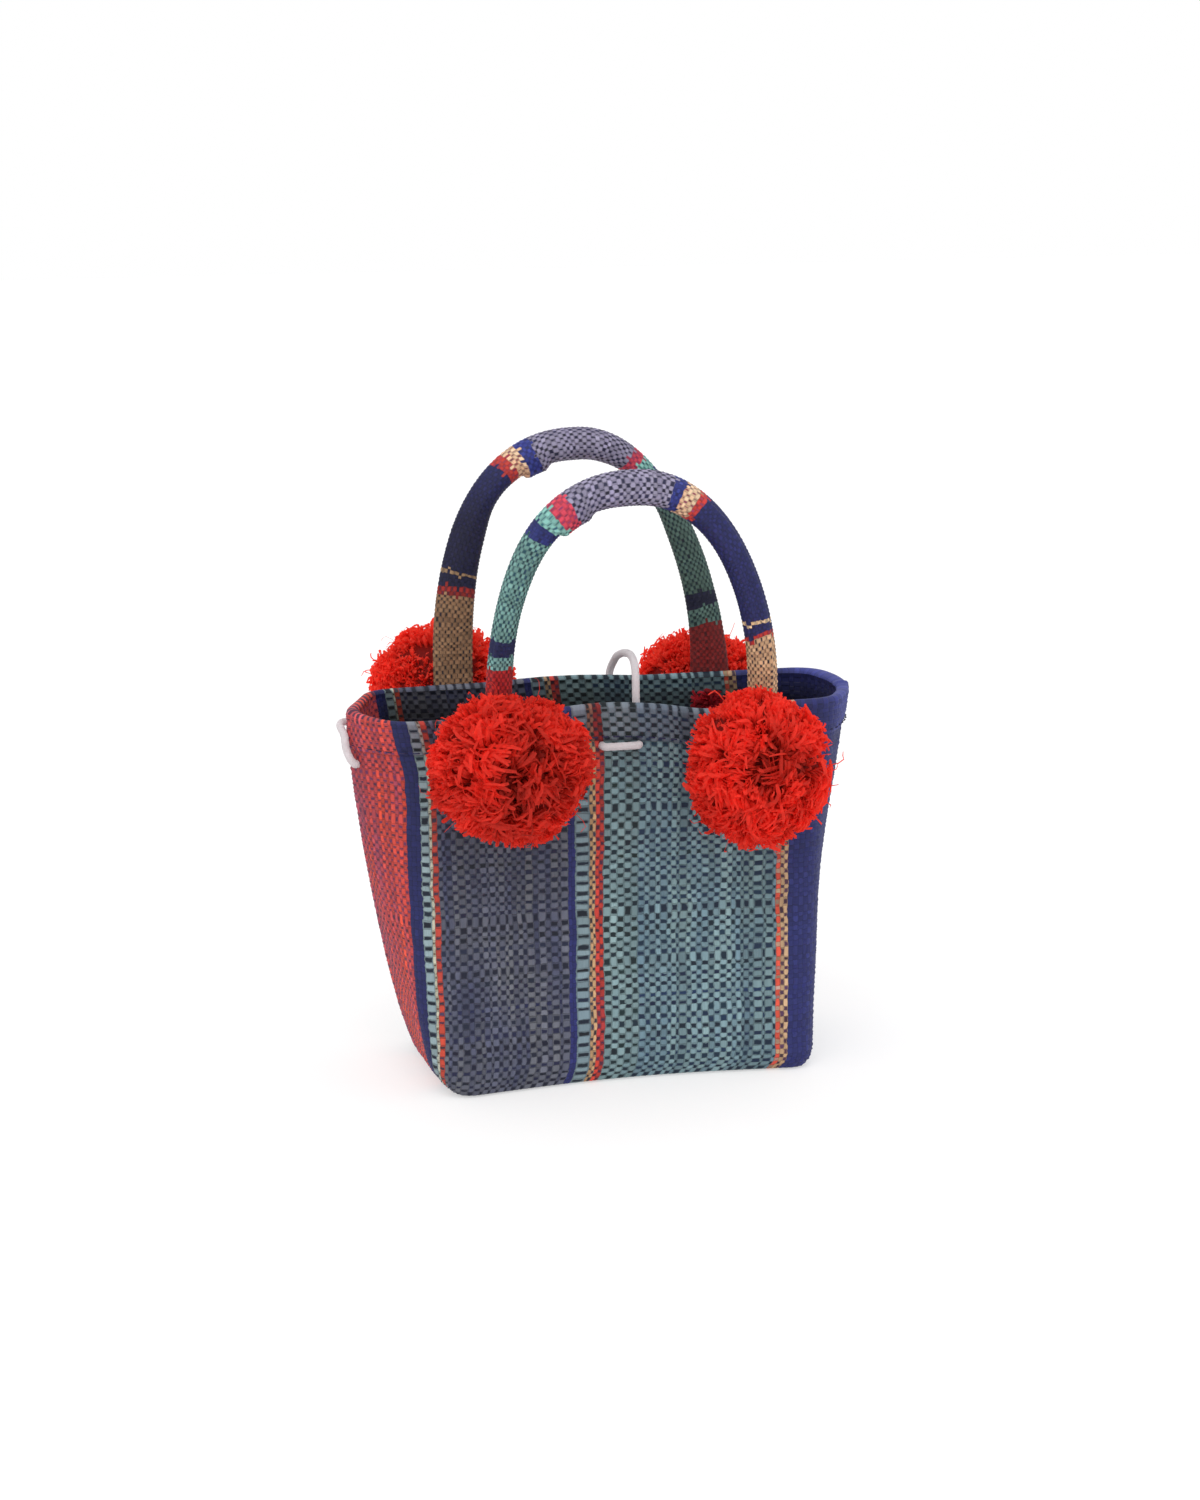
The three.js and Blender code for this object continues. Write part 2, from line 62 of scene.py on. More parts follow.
# Cloth body
WALL = 2.0
RIM_HEIGHT = 172.0
HEM_HEIGHT = 16.5
HEM_STEP = 0.8
RIM_BEAD = 1.9
RIM_INSET = 0.5
CLEARANCE = 0.35
HEM_FOOT = RIM_HEIGHT - HEM_HEIGHT
RIM_RISE = {"front": 3.5, "back": 2.2, "centre": -12.0, "reach": 48.0, "starts_at": 110.0}
RIM_DIP = {"depth": 2.2, "centre": 40.0, "reach": 16.0}

# Plan of the body by height: y of the walls, x of the corners and seams, y of the left seam,
# how far the walls bow in, how much the rounded corners and left seam take up, the turn,
# how far the stripes of the front and back reach round the left corners, the y and the
# rounding of the right seam, and how far before the right corner the stripes of the front
# and of the back end.
SECTION_COLUMNS = (
    "z", "front", "back", "front_left", "front_right", "back_left", "back_right", "seam_left", "seam_right",
    "seam_y", "bow", "corner", "seam", "turn_deg", "lead", "right_y", "right_seam", "right_lead", "back_lead",
)
SECTION_ROWS = np.array([
    (0, -46.5, 45, -83, 82, -81, 82, -83.5, 84, 0, 7, 8, 24, 2.2, 25, 0, 24, 0, 0),
    (5, -49, 47.5, -89, 85.5, -85, 87, -88, 89, 0, 7, 11, 24, 2.2, 19, 0, 24, 0, 1),
    (14, -49.5, 48, -95, 86.5, -88, 90, -93.5, 92.5, 0, 6, 14, 24, 2.0, 12, 0, 24, 0, 2),
    (40, -47.5, 46.5, -99.5, 87, -92, 95, -103, 97, -1, 4.5, 14, 22, 1.4, 6.5, -1, 22, 0, 5),
    (75, -44.5, 44, -100, 87.5, -95, 98, -111.5, 101, -3, 3, 12, 20, 0.7, 4.7, -2, 22, 0, 9),
    (110, -41.5, 41.5, -101, 89, -97, 101, -118, 106.5, -5, 2, 11, 15, 0, 3, -3, 20, 0.5, 13),
    (145, -38.5, 38.5, -102.5, 93, -100, 105, -123.5, 114, -11, 1, 11, 12, 0, 1.5, -2, 22, 2, 18.5),
    (172, -36.5, 36.5, -107, 96, -104.5, 108, -124.5, 120, -13, 0, 12, 15, 0, 2.2, 1, 26, 4, 23.5),
])
CORNER_STEPS = 8
WALL_STEPS = 40
SIDE_STEPS = 12

# Handles: half widths of the legs away from and towards the arch, and their depth, by rise
FOOT_LENGTH = 34.0
FOOT_STEPS = 40
ARCH_STEPS = 401
STRAP_DEPTH = 5.0
FOOT_DEPTH = 4.0
PAD_STEP = 2.8
PAD_RAMP = 0.008
LEG_COLUMNS = ("rise", "outward", "inward", "depth")
LEG_ROWS = {
    "front": np.array([
        (-0.4, 7.4, 7.4, FOOT_DEPTH), (0.0, 7.2, 7.2, STRAP_DEPTH), (0.35, 6.9, 6.4, 8.0),
        (0.6, 6.8, 6.2, 10.0), (0.8, 7.2, 6.0, 12.5), (1.0, 8.0, 7.0, 15.0),
    ]),
    "back": np.array([
        (-0.4, 9.3, 9.3, FOOT_DEPTH), (0.0, 9.2, 9.0, STRAP_DEPTH), (0.35, 9.1, 8.8, 7.5),
        (0.6, 8.6, 7.8, 9.5), (0.8, 7.8, 5.2, 12.0), (1.0, 7.8, 6.8, 15.0),
    ]),
}
# Handles: shade dims the whole back handle a little, and the leg light darkens the back legs below their
# tops; both are painted shade, warm on the legs
HANDLES = {
    "front": {
        "side": -1, "left": 60.5, "right": 61.5, "arch": 103.5, "lean_deg": 7.6,
        "full_left": 2.55, "full_right": 2.0, "pad_from": 0.86, "pad_to": 0.965,
        "left_leg": 0.87, "right_leg": 1.0, "lap_at": 0.11, "shade": 1.0, "painted_leg_light": (1.0, 1.0, 1.0),
    },
    "back": {
        "side": 1, "left": 64.0, "right": 59.2, "arch": 108.5, "lean_deg": 6.7,
        "full_left": 2.45, "full_right": 1.95, "pad_from": 0.93, "pad_to": 0.98,
        "left_leg": 1.0, "right_leg": 0.78, "lap_at": 0.89, "shade": 0.96, "painted_leg_light": (0.48, 0.42, 0.385),
    },
}
HANDLE_STRAND = 1.75
HANDLE_AROUND = 26
HANDLE_PARTS = 2
HANDLE_SECTION_STEPS = 97
HANDLE_WEAVE_HEIGHT = 0.3
HANDLE_SPREAD = 0.28
HANDLE_SHIFT = 0.16
HANDLE_COVER_SPREAD = 0.5
LAP_HEIGHT, LAP_WIDTH = 0.9, 0.09
# Heights between which the painted shade of a leg gives way to the light at the top
LEG_LIT = (240.0, 276.0)

# Pompoms: side of the bag, centre across and up the wall, radius across and up, seed and
# brightness of the strips, which is painted light, most on the back ones that are lit from behind,
# and hollows in the face as shares of the radius across and up
POMPOMS = {
    "pompom_front_left": {
        "side": -1, "x": -61.0, "z": 155.0, "across": 38.5, "up": 36.0, "seed": 11, "shade": 0.95,
        "hollows": ((0.5, -0.24), (0.08, -0.46), (-0.22, -0.04), (0.2, 0.34)),
    },
    "pompom_front_right": {
        "side": -1, "x": 51.5, "z": 149.0, "across": 34.5, "up": 37.0, "seed": 23, "shade": 1.08,
        "hollows": ((0.0, 0.38), (-0.04, 0.1), (0.52, 0.12)),
    },
    "pompom_back_left": {
        "side": 1, "x": -63.0, "z": 159.5, "across": 37.5, "up": 37.5, "seed": 37, "shade": 1.3,
        "hollows": ((0.1, 0.1), (-0.4, -0.3), (0.35, 0.35)),
    },
    "pompom_back_right": {
        "side": 1, "x": 63.5, "z": 152.5, "across": 37.0, "up": 36.0, "seed": 51, "shade": 1.3,
        "hollows": ((-0.1, 0.05), (0.4, 0.3), (-0.2, -0.5)),
    },
}
# Depth and reach of the hollows in a pompom's face, the painted shade in them, and painted shade on the
# middle of the face
HOLLOW_DEPTH = 0.3
HOLLOW_REACH = 0.21
HOLLOW_PAINTED_SHADE = 0.62
FACE_PAINTED_SHADE = 0.05
POMPOM_BACK_DEPTH = 24.0
POMPOM_FRONT_DEPTH = 32.0
POMPOM_SEAT = (STRAP_DEPTH + FOOT_DEPTH) / 2 + CLEARANCE
POMPOM_LOWEST = -0.9
# Ball in the middle of each pompom, filling the gaps between the strips: its size, steps, reach up and down,
# and its painted shade
CORE_SHARE = 0.82
CORE_STEPS = (18, 10)
CORE_END = 0.48
CORE_PAINTED_SHADE = 0.7
# Strips of a pompom, gathered in locks
LOCKS = 170
LOCK_TURN = 0.35
LOCK_WAY = 0.9
LOCK_BEND = (0.2, 1.2)
LOCK_REACH = (0.87, 1.0)
LOCK_SPREAD = 0.1
FACE_BEND = 0.4
RIM_BEND = 0.08
STRIP_SHADE = (0.9, 1.08)
RIBBONS = 6200
RIBBON_PARTS = 6
RIBBON_HALF_WIDTH = 0.82
RIBBON_WIDTHS = (0.5, 1.4)
RIBBON_CREASE = (0.1, 0.5)
RIBBON_ROOT = 0.45
RIBBON_WAY = 0.5
RIBBON_REACH = (0.92, 1.0)
RIBBON_BEND = (0.7, 1.25)
RIBBON_CLIMB = 0.72
RIBBON_SWING, SWING_POWER = 0.25, 1.5
RIBBON_WAVE = 0.22
RIBBON_LIFT, LIFT_FROM = 0.025, 0.6
ROOT_WIDTH, TIP_FROM, TIP_TAPER = 0.6, 0.8, 0.45
RIBBON_ROLL, RIBBON_TWIST = 0.6, 0.5
# Shares along a strip over which the painted shade at its root gives way to its bright dye
RIBBON_PAINTED_SHADE_SPAN = (0.1, 0.65)
WISPS = 26
WISP_REACH = (1.04, 1.14)
WISP_BEND = 0.15
WISP_WIDTH = 0.4
# How the strips keep clear of the bag
OVERHANG = 5.0
OVERHANG_RISE = (5.0, 10.0)
WALL_GAP = 0.9
WALL_REACH = (-95.0, 85.0)
LEG_GAP = 0.6
LEG_SLOPE = 0.16
# Loose ends of the back right pompom's tie
TIE_STRIPS = 70
TIE_POINTS = 6
TIE_X, TIE_Z = 57.0, 157.0
TIE_LENGTH = (5.0, 11.0)
TIE_HALF_WIDTH = (0.6, 1.1)
TIE_SHADE = (0.4, 1.2)
TIE_SEED = 71
TIE_TURN, TIE_CURL, TIE_ROLL = (-0.4, 3.7), 0.9, 0.5
TIE_ROOT, TIE_SAG = 2.4, 2.5
TIE_GAP, TIE_LIFT, TIE_LIFTS, TIE_ARC = 0.7, 3.5, (0.2, 1.0), 0.8

# Cords
CORD_DIAMETER = 3.6
CORD_GROOVE, CORD_PLIES, CORD_LAY = 0.07, 3, 9.0
CORD_SIDES, CORD_STEPS = 16, 16
CURVE_STEPS = 24
STITCH_LEFT, STITCH_RIGHT, STITCH_Z = -12.2, 4.8, 156.0
BACK_HOLE_X, BACK_HOLE_Z = 11.0, 154.5
SIDE_FRONT, SIDE_FRONT_Z = 0.82, 149.0
SIDE_BACK, SIDE_BACK_Z = 0.2, 165.5
TAIL = 9.0
KNOT_RADIUS = 2.7
# Shares of a knot's radius: its ring, how far the cord sways across and along, and the cord
KNOT_RING, KNOT_SWAY, KNOT_RISE, KNOT_CORD = 0.55, 0.2, 0.3, 0.32
KNOT_STEPS, KNOT_SIDES = 73, 8

# Thread stitches of the hem
STITCH_LENGTH = 3.0
FIRST_STITCH = 1.0
STITCH_PITCH = 5.4
STITCH_THICKNESS = 0.55
STITCH_SHIFT = 0.4
STITCH_RISE = 1.8
STITCH_BULGE = np.array([-0.8, 0.1, 0.35, 0.1, -0.8])
STITCH_SIDES = 6
PANEL_STEPS = 60

# Weave of the body
SIDE_STRANDS = 16
SIDE_EXTRA = (-2, 2, 0, 0)
SIDE_SPREAD = 0.15
# How far the widths of strands alternate and differ, in stripes of many strands and in the rest
WIDE_STRIPE, WIDE_UNEVEN, LINE_UNEVEN = 10, (0.46, 0.36), (0.0, 0.05)
TURN_WAVES, TURN_MEAN, TURN_SWAY = 3.0, 0.55, 0.45
ROWS = 72
ROW_SPREAD = 0.17
TALL_ROW, TALL_ROW_SHARE = 1.45, 0.1
LOW_ROW, LOW_ROWS = 0.7, 4
HEM_ROWS = 7
WEAVE_HEIGHT = 0.42
WEAVE_HEIGHTS = (0.75, 1.25)
NODE_SHIFT = 0.14
COVER_SPREAD = 0.25
HEM_PUFF, HEM_FOOT_RISE = 0.5, 2.5
ROLL_PUFF, ROLL_FROM, ROLL_TO = 0.5, 5.0, 2.0
RIGHT_ROLL, RIGHT_ROLL_REACH, RIGHT_ROLL_RAMP = 2.8, (90.0, 114.0), 3.0
SEAM_RIDGE = 0.8
SEAM_REACH = 1.2
SEAM_FROM = 6.0
LOOSE_FROM, LOOSE_TO = 4.0, HEM_FOOT - 1.0
LAST_STRAND = 2.5
CORNER_DIP = 0.3
BASE_LIFT = 0.5
INNER_BASE = WALL + 0.6
INNER_EDGE = WALL + 1.6
BASE_CELL = (2.4, 2.6)
HAIR = 0.01

# Shade of the cloth by place, applied to the dyes of its cells
# The outer wall darker towards the top: partly uneven dye, partly painted shade from the pompoms and handles
WALL_DYE_AND_PAINTED_SHADE, WALL_SHADE_RISE = 0.12, (60.0, 150.0)
HEM_SHADE = 0.84
# Painted highlight on the rolled rim bead, which keeps it lighter than the hem below
RIM_PAINTED_HIGHLIGHT = 1.0
# Painted light on the right end of the hem, which turns out towards the light
RIGHT_HEM_PAINTED_LIGHT, RIGHT_HEM_REACH = 1.0, (90.0, 106.0)
# Painted shade inside the bag: lighter just under the rim, darkest deep down, with painted light on the
# inside of the left side
LIP_PAINTED_SHADE, LIP_DEPTH = 0.8, 1.0
INSIDE_PAINTED_SHADE = 0.24
INSIDE_FADE = 15.0
LEFT_INSIDE_PAINTED_LIGHT, LEFT_INSIDE_REACH = 0.95, (95.0, 104.0)
BASE_SHADE = 0.9

# Unevenness of the dyes: between strands, between rows and between cells. Columns 0 to 8 of a
# table of dyes hold three colours, then come the cover and the leaning to the first colour.
COVER, LEANING = 9, 10
PLAIN_COVER = 0.95
COVER_LIMITS = (0.25, 0.94)
STRAND_SHADES, PLAIN_SHADES = 0.19, 0.07
STRAND_LEANING = 0.14
ROW_HUES = (0.06, 0.08, 0.18)
ROW_SHADES, ROW_LIMITS = (0.6, 1.4), (0.3, 2.5)
CELL_SHADES = (0.82, 1.14)
PLAIN_ROWS = 0.35
PHASES = 6.0

# Soft unevenness: size, range of the waves in radians for each millimetre, waves and seed
SLOW, BLOTCH, QUICK = (0.06, 0.14), (0.12, 0.3), (0.15, 0.45)
SWELLS = {
    "wall_out": (0.45, SLOW, 9, 3),
    "wall_sideways": (0.3, QUICK, 12, 4),
    "wall_up": (0.3, QUICK, 12, 6),
    "wall_dye": (0.26, QUICK, 14, 8),
    "wall_blotch": (0.22, BLOTCH, 16, 10),
    "handle_out": (0.25, SLOW, 7, 5),
    "handle_along": (0.8, QUICK, 10, 12),
    "handle_dye": (0.25, QUICK, 10, 9),
}
SWELL_PHASES = 6.28
# Heights over which the wall's swelling begins, and how far below the rim its upward part fades
SWELL_RISE, SWELL_END = (4.0, 30.0), 6.0
# How the drift of the dyes is read: stretch up the wall, and steps between strands and strips
DYE_STRETCH, BLOTCH_STRETCH = 0.5, 0.6
STRAND_STEP, STRIP_STEP = 9.0, 7.0
# Steps between strands and between rows in the noise of the fibres
STRAND_SEED, ROW_SEED = 0.37, 0.61

# Dyes
NAVY = "22265F"
NAVY_PALE = "2C316E"
DARK = "111C2A"
PURPLE = "5A2A48"
POMPOM_BRIGHT = "FA4232"
# Painted shade deep in the pompoms, at the strips' roots and on the middle ball
POMPOM_PAINTED_SHADE = "BC2018"
TIE_DYE = "CC2636"

# Stripes of the cloth from the front left corner to the front right corner:
# width, strands, the two colours of the upright strips, the colour of the crossing strips
# and how much of a cell the crossing strip covers.
STRIPES = (
    ("navy_edge", 6.5, 3, "1C2054", "23275E", "1C2054", 1.0),
    ("pale_blocks", 4.0, 1, "94A8AC", "8499A0", DARK, 0.7),
    ("pale_line", 1.2, 1, "B0A890", "98A49C", "5A4A40", 0.4),
    ("red_line", 2.5, 1, "CC4A36", "B84238", "3E3040", 0.55),
    ("grey", 59.3, 25, "64666F", "444862", "161A32", 0.7),
    ("navy_line", 3.2, 2, NAVY, NAVY_PALE, NAVY, 1.0),
    ("ladder", 6.5, 1, "7C9096", "728690", DARK, 0.65),
    ("cream", 2.8, 2, "C69C70", "AE8C6C", "34323E", 0.7),
    ("red_dots", 3.7, 2, "CA3E2E", "AE363A", "46223A", 0.6),
    ("teal_wide", 16.0, 5, "7E9698", "6C868E", "10222A", 0.75),
    ("teal", 64.5, 26, "7C969A", "607A88", "10253A", 0.72),
    ("red_thin", 2.0, 1, "D2503A", "C04638", "A88A70", 0.7),
    ("cream_edge", 3.6, 2, "CBA884", "B89674", "4A3044", 0.75),
    ("navy_right", 12.5, 5, NAVY, NAVY_PALE, NAVY, 1.0),
)
LEFT_SIDE = ("D2442E", "A84256", PURPLE, 0.47)
# Leaning of the left side's strands, less near the seam, and how many strands that reaches
LEFT_LEANING, SEAM_LEANING, SEAM_STRANDS = 0.2, 0.5, 6.0
RIGHT_SIDE = ("252963", "292E69", "262A64", 1.0)
# How much of each colour the front and the left side keep in the turned hem
HEM_TINT = (0.84, 0.68, 0.76)
HEM_LINE_TINT = (0.48, 0.32, 0.42)
HEM_LINES = ("cream", "red_dots")
LEFT_HEM_TINT = (1.15, 1.2, 1.2)

# Bands along a handle from the foot with the tan check: length on the front and on the
# back handle, two colours of the strips round the handle, colour of the long strips and
# how much of a cell they cover.
HANDLE_BANDS = (
    ("tan_check", 65.0, 71.5, "D8B28A", "C29A78", "2B2632", 0.46),
    ("red_a", 2.6, 3.2, "C83834", "C83834", "6A2A4A", 0.4),
    ("navy_a", 5.0, 4.6, "24275C", "24275C", "20234F", 1.0),
    ("cream_line", 1.9, 1.9, "DCC09C", "D8B48A", "8A7A68", 0.4),
    ("navy_long", 59.6, 48.7, "272A66", "24275C", "20234F", 1.0),
    ("red_b", 4.0, 4.0, "DC4A3C", "D03C3A", "8A3450", 0.4),
    ("cream_check", 6.6, 5.5, "E8D2B0", "DCA884", "7A3A48", 0.45),
    ("blue", 4.9, 7.5, "3A4590", "30388A", "262A66", 0.8),
    ("lavender", 44.0, 44.0, "9C96AE", "88819E", "24223A", 0.68),
    ("magenta", 6.5, 5.5, "D8465A", "C23A50", "7A2A50", 0.5),
    ("mint_a", 6.0, 5.5, "90C6BC", "7CB4AC", "2A5560", 0.5),
    ("blue_b", 8.0, 7.0, "2A3478", NAVY, "20245C", 0.9),
    ("mint_check", 46.1, 52.1, "749E97", "618885", "1E3C48", 0.64),
    ("navy_b", 7.0, 6.0, "20244F", "20244F", "1C2048", 1.0),
    ("mint_b", 6.5, 8.0, "7EACA6", "689694", "1E3E48", 0.66),
    ("red_foot", 55.4, 54.1, "BC2A2A", "A6282C", "701622", 0.5),
)
# How far the ends of the bands waver in strips, by radians for each long strand, and at random
BAND_WAVER, BAND_WAVES, BAND_NOISE = 0.6, 0.75, 0.12

# Look of the weave in shares of a cell: wobble of the strips' edges, the soft edge of a strip
# that covers another, and the crevice beside a strip
WOBBLE = 0.18
COVER_EDGE = (-0.24, 0.2)
CREVICE = (0.62, 1.05)
# Painted shade in the crevice beside a strip, and on an upright strip where it dives under a crossing one
CREVICE_PAINTED_SHADE = 0.5
BARED_PAINTED_SHADE = 0.8
WOBBLE_GRAIN, WARP_GRAIN, WEFT_GRAIN = (600.0, 600.0, 1.0), (3000.0, 150.0, 1.0), (150.0, 3000.0, 1.0)
WOBBLE_DETAIL, FIBRE_DETAIL = 2.0, 3.0
FIBRE_SHADE = 0.5
CLOTH_ROUGHNESS, CLOTH_SPECULAR, CLOTH_BUMP = 0.62, 0.32, (0.6, 0.0004)
FIBRE_RELIEF, CREVICE_RELIEF = 0.35, -0.65
# Grainy materials: dye, or None for the strips' own tints, grain for each metre, its detail and
# depth, roughness, specular level, strength and height of the bump, and share of light let through
FIBRES = {
    "pompom_raffia": (None, 900.0, 3.0, 0.5, 0.6, 0.22, 0.3, 0.0003, 0.58),
    "white_cord": ("E9E4E6", 1500.0, 2.0, 0.24, 0.55, 0.3, 0.25, 0.0002, 0.45),
    "hem_thread": ("2A2648", 1500.0, 2.0, 0.24, 0.7, 0.3, 0.25, 0.0002, 0.0),
}

rng = np.random.default_rng(7)
scene = bpy.context.scene


def linear(code):
    """Linear colour from a hex code."""
    parts = np.array([int(code[k:k + 2], 16) for k in (0, 2, 4)]) / 255.0
    return np.where(parts <= 0.04045, parts / 12.92, ((parts + 0.055) / 1.055) ** 2.4)


def smoothstep(value, low, high):
    t = np.clip((value - low) / (high - low), 0.0, 1.0)
    return t * t * (3.0 - 2.0 * t)


def after(t, start):
    """How far t has come from start to 1, as a share."""
    return np.clip((t - start) / (1.0 - start), 0.0, 1.0)


def unit(vectors):
    return vectors / np.maximum(np.linalg.norm(vectors, axis=-1, keepdims=True), 1e-9)


def travelled(line):
    """Length along a line up to each of its points."""
    return np.concatenate([[0.0], np.cumsum(np.linalg.norm(np.diff(line, axis=0), axis=1))])


def read_line(at, travel, line):
    """Points of a line at some lengths along it."""
    return np.column_stack([np.interp(at, travel, column) for column in line.T])


def read_table(rows, columns, at, column):
    """Cubic reading of one column of a table, with slopes taken from the neighbours."""
    keys = rows[:, 0]
    values = rows[:, columns.index(column)]
    low = np.maximum(np.arange(len(keys)) - 1, 0)
    high = np.minimum(np.arange(len(keys)) + 1, len(keys) - 1)
    slopes = (values[high] - values[low]) / (keys[high] - keys[low])
    i = np.clip(np.searchsorted(keys, at, side="left") - 1, 0, len(keys) - 2)
    width = keys[i + 1] - keys[i]
    t = np.clip((at - keys[i]) / width, 0.0, 1.0)
    start = (2 * t ** 3 - 3 * t ** 2 + 1) * values[i] + (t ** 3 - 2 * t ** 2 + t) * width * slopes[i]
    return start + (3 * t ** 2 - 2 * t ** 3) * values[i + 1] + (t ** 3 - t ** 2) * width * slopes[i + 1]


def section(z, column):
    return read_table(SECTION_ROWS, SECTION_COLUMNS, z, column)


def wall_face(side, x, z):
    """y of the outside of the front (side -1) or back (side 1) wall, hem included."""
    wall = "front" if side < 0 else "back"
    left = section(z, wall + "_left") + section(z, "corner")
    right = section(z, wall + "_right") - section(z, "corner")
    share = np.clip((x - left) / (right - left), 0.0, 1.0)
    hem = np.where(z > HEM_FOOT, HEM_STEP, 0.0)
    return section(z, wall) + side * (hem - section(z, "bow") * np.sin(np.pi * share))


def strap_face(side, x, z, depth):
    """y of a face that lies some depth outside a wall, level over the step of the hem."""
    hem = np.where(z > HEM_FOOT, 0.0, HEM_STEP)
    return wall_face(side, x, z) + side * (hem + CLEARANCE + depth)


def on_flat(start, end, along, z, out):
    """Point on the flat between two upright edges of the body, moved outwards."""
    first = np.array([section(z, column) for column in start])
    last = np.array([section(z, column) for column in end])
    outward = unit(np.array([first[1] - last[1], last[0] - first[0]]))
    return (*(first + (last - first) * along + outward * out), z)


def left_front(along, z, out):
    return on_flat(("front_left", "front"), ("seam_left", "seam_y"), along, z, out)


def left_back(along, z, out):
    return on_flat(("seam_left", "seam_y"), ("back_left", "back"), along, z, out)


def aim(name, data, way):
    """Camera or light that looks along a direction."""
    obj = bpy.data.objects.new(name, data)
    obj.rotation_mode = "QUATERNION"
    obj.rotation_quaternion = Vector(way).to_track_quat("-Z", "Y")
    scene.collection.objects.link(obj)
    return obj


def make_camera():
    turn = math.radians(CAMERA_AZIMUTH)
    tilt = math.radians(CAMERA_ELEVATION)
    back = Vector((math.sin(turn) * math.cos(tilt), -math.cos(turn) * math.cos(tilt), math.sin(tilt)))
    camera = aim("photo_camera", bpy.data.cameras.new("photo_camera"), -back)
    camera.data.lens = CAMERA_LENS
    camera.data.sensor_width = CAMERA_SENSOR
    camera.location = CAMERA_TARGET + back * CAMERA_DISTANCE
    scene.camera = camera


class Shader:
    """Adds and links the nodes of one material."""

    def __init__(self, name):
        self.material = bpy.data.materials.new(name)
        self.material.use_nodes = True
        self.tree = self.material.node_tree
        self.tree.nodes.clear()

    def add(self, kind, values=None, **settings):
        node = self.tree.nodes.new(kind)
        for key, value in settings.items():
            setattr(node, key, value)
        for socket, value in (values or {}).items():
            if isinstance(value, bpy.types.NodeSocket):
                self.tree.links.new(value, node.inputs[socket])
            else:
                node.inputs[socket].default_value = value
        return node.outputs

    def attribute(self, name):
        return self.add("ShaderNodeAttribute", attribute_name=name)

    def math(self, operation, first, second=0.0, third=0.0):
        return self.add("ShaderNodeMath", {0: first, 1: second, 2: third}, operation=operation)[0]

    def ramp(self, value, low, high):
        values = {"Value": value, "From Min": low, "From Max": high}
        return self.add("ShaderNodeMapRange", values, interpolation_type="SMOOTHSTEP")["Result"]

    def blend(self, share, first, second):
        return self.add("ShaderNodeMix", {0: share, 6: first, 7: second}, data_type="RGBA")[2]

    def number_blend(self, share, first, second):
        return self.add("ShaderNodeMix", {0: share, 2: first, 3: second}, data_type="FLOAT")[0]

    def dim(self, colour, share):
        return self.add("ShaderNodeVectorMath", {0: colour, "Scale": share}, operation="SCALE")[0]

    def noise(self, vector, stretch, detail):
        place = self.add("ShaderNodeVectorMath", {0: vector, 1: stretch}, operation="MULTIPLY")[0]
        return self.add("ShaderNodeTexNoise", {"Vector": place, "Scale": 1.0, "Detail": detail})["Fac"]

    def grain(self, fibre, depth):
        return self.math("MULTIPLY_ADD", fibre, depth, 1.0 - depth / 2)

    def surface(self, colour, roughness, specular, height, strength, distance):
        bump = {"Height": height, "Strength": strength, "Distance": distance}
        return self.add("ShaderNodeBsdfPrincipled", {
            "Base Color": colour,
            "Roughness": roughness,
            "Specular IOR Level": specular,
            "Normal": self.add("ShaderNodeBump", bump)["Normal"],
        })[0]

    def finish(self, surface):
        self.add("ShaderNodeOutputMaterial", {"Surface": surface})
        return self.material


def cloth_material():
    """Plain weave: upright and crossing strips read from the cell each face belongs to."""
    s = Shader("woven_raffia")
    warp = s.attribute("warp_tint")
    weft = s.attribute("weft_tint")
    cell = s.add("ShaderNodeSeparateXYZ", {0: s.attribute("cell")["Vector"]})
    place = s.attribute("cloth")["Vector"]
    across = s.math("ABSOLUTE", cell[0])
    along = s.math("ABSOLUTE", cell[1])
    over = cell[2]
    wobble = s.math("MULTIPLY_ADD", s.noise(place, WOBBLE_GRAIN, WOBBLE_DETAIL), 2 * WOBBLE, -WOBBLE)
    cover = warp["Alpha"]
    edge = [s.math("ADD", cover, offset) for offset in COVER_EDGE]
    bared = s.ramp(s.math("ADD", along, wobble), *edge)
    bared = s.math("MAXIMUM", bared, s.ramp(s.math("ADD", across, wobble), *CREVICE))
    bared = s.math("MULTIPLY", bared, s.math("LESS_THAN", cover, PLAIN_COVER))
    # Where the crossing strip leaves a gap, the upright strip shows there in painted shade, as it dives under
    crossing = s.blend(bared, weft["Color"], s.dim(warp["Color"], BARED_PAINTED_SHADE))
    tint = s.blend(over, crossing, warp["Color"])
    side = s.math("MULTIPLY_ADD", wobble, 0.5, s.number_blend(over, along, across))
    crevice = s.ramp(side, *CREVICE)
    grains = [s.noise(place, stretch, FIBRE_DETAIL) for stretch in (WEFT_GRAIN, WARP_GRAIN)]
    fibre = s.number_blend(over, *grains)
    # Painted shade in the crevices between the strips
    hollow = s.math("MULTIPLY_ADD", crevice, -CREVICE_PAINTED_SHADE, 1.0)
    colour = s.dim(tint, s.math("MULTIPLY", s.grain(fibre, FIBRE_SHADE), hollow))
    height = s.math("MULTIPLY_ADD", fibre, FIBRE_RELIEF, s.math("MULTIPLY", crevice, CREVICE_RELIEF))
    return s.finish(s.surface(colour, CLOTH_ROUGHNESS, CLOTH_SPECULAR, height, *CLOTH_BUMP))


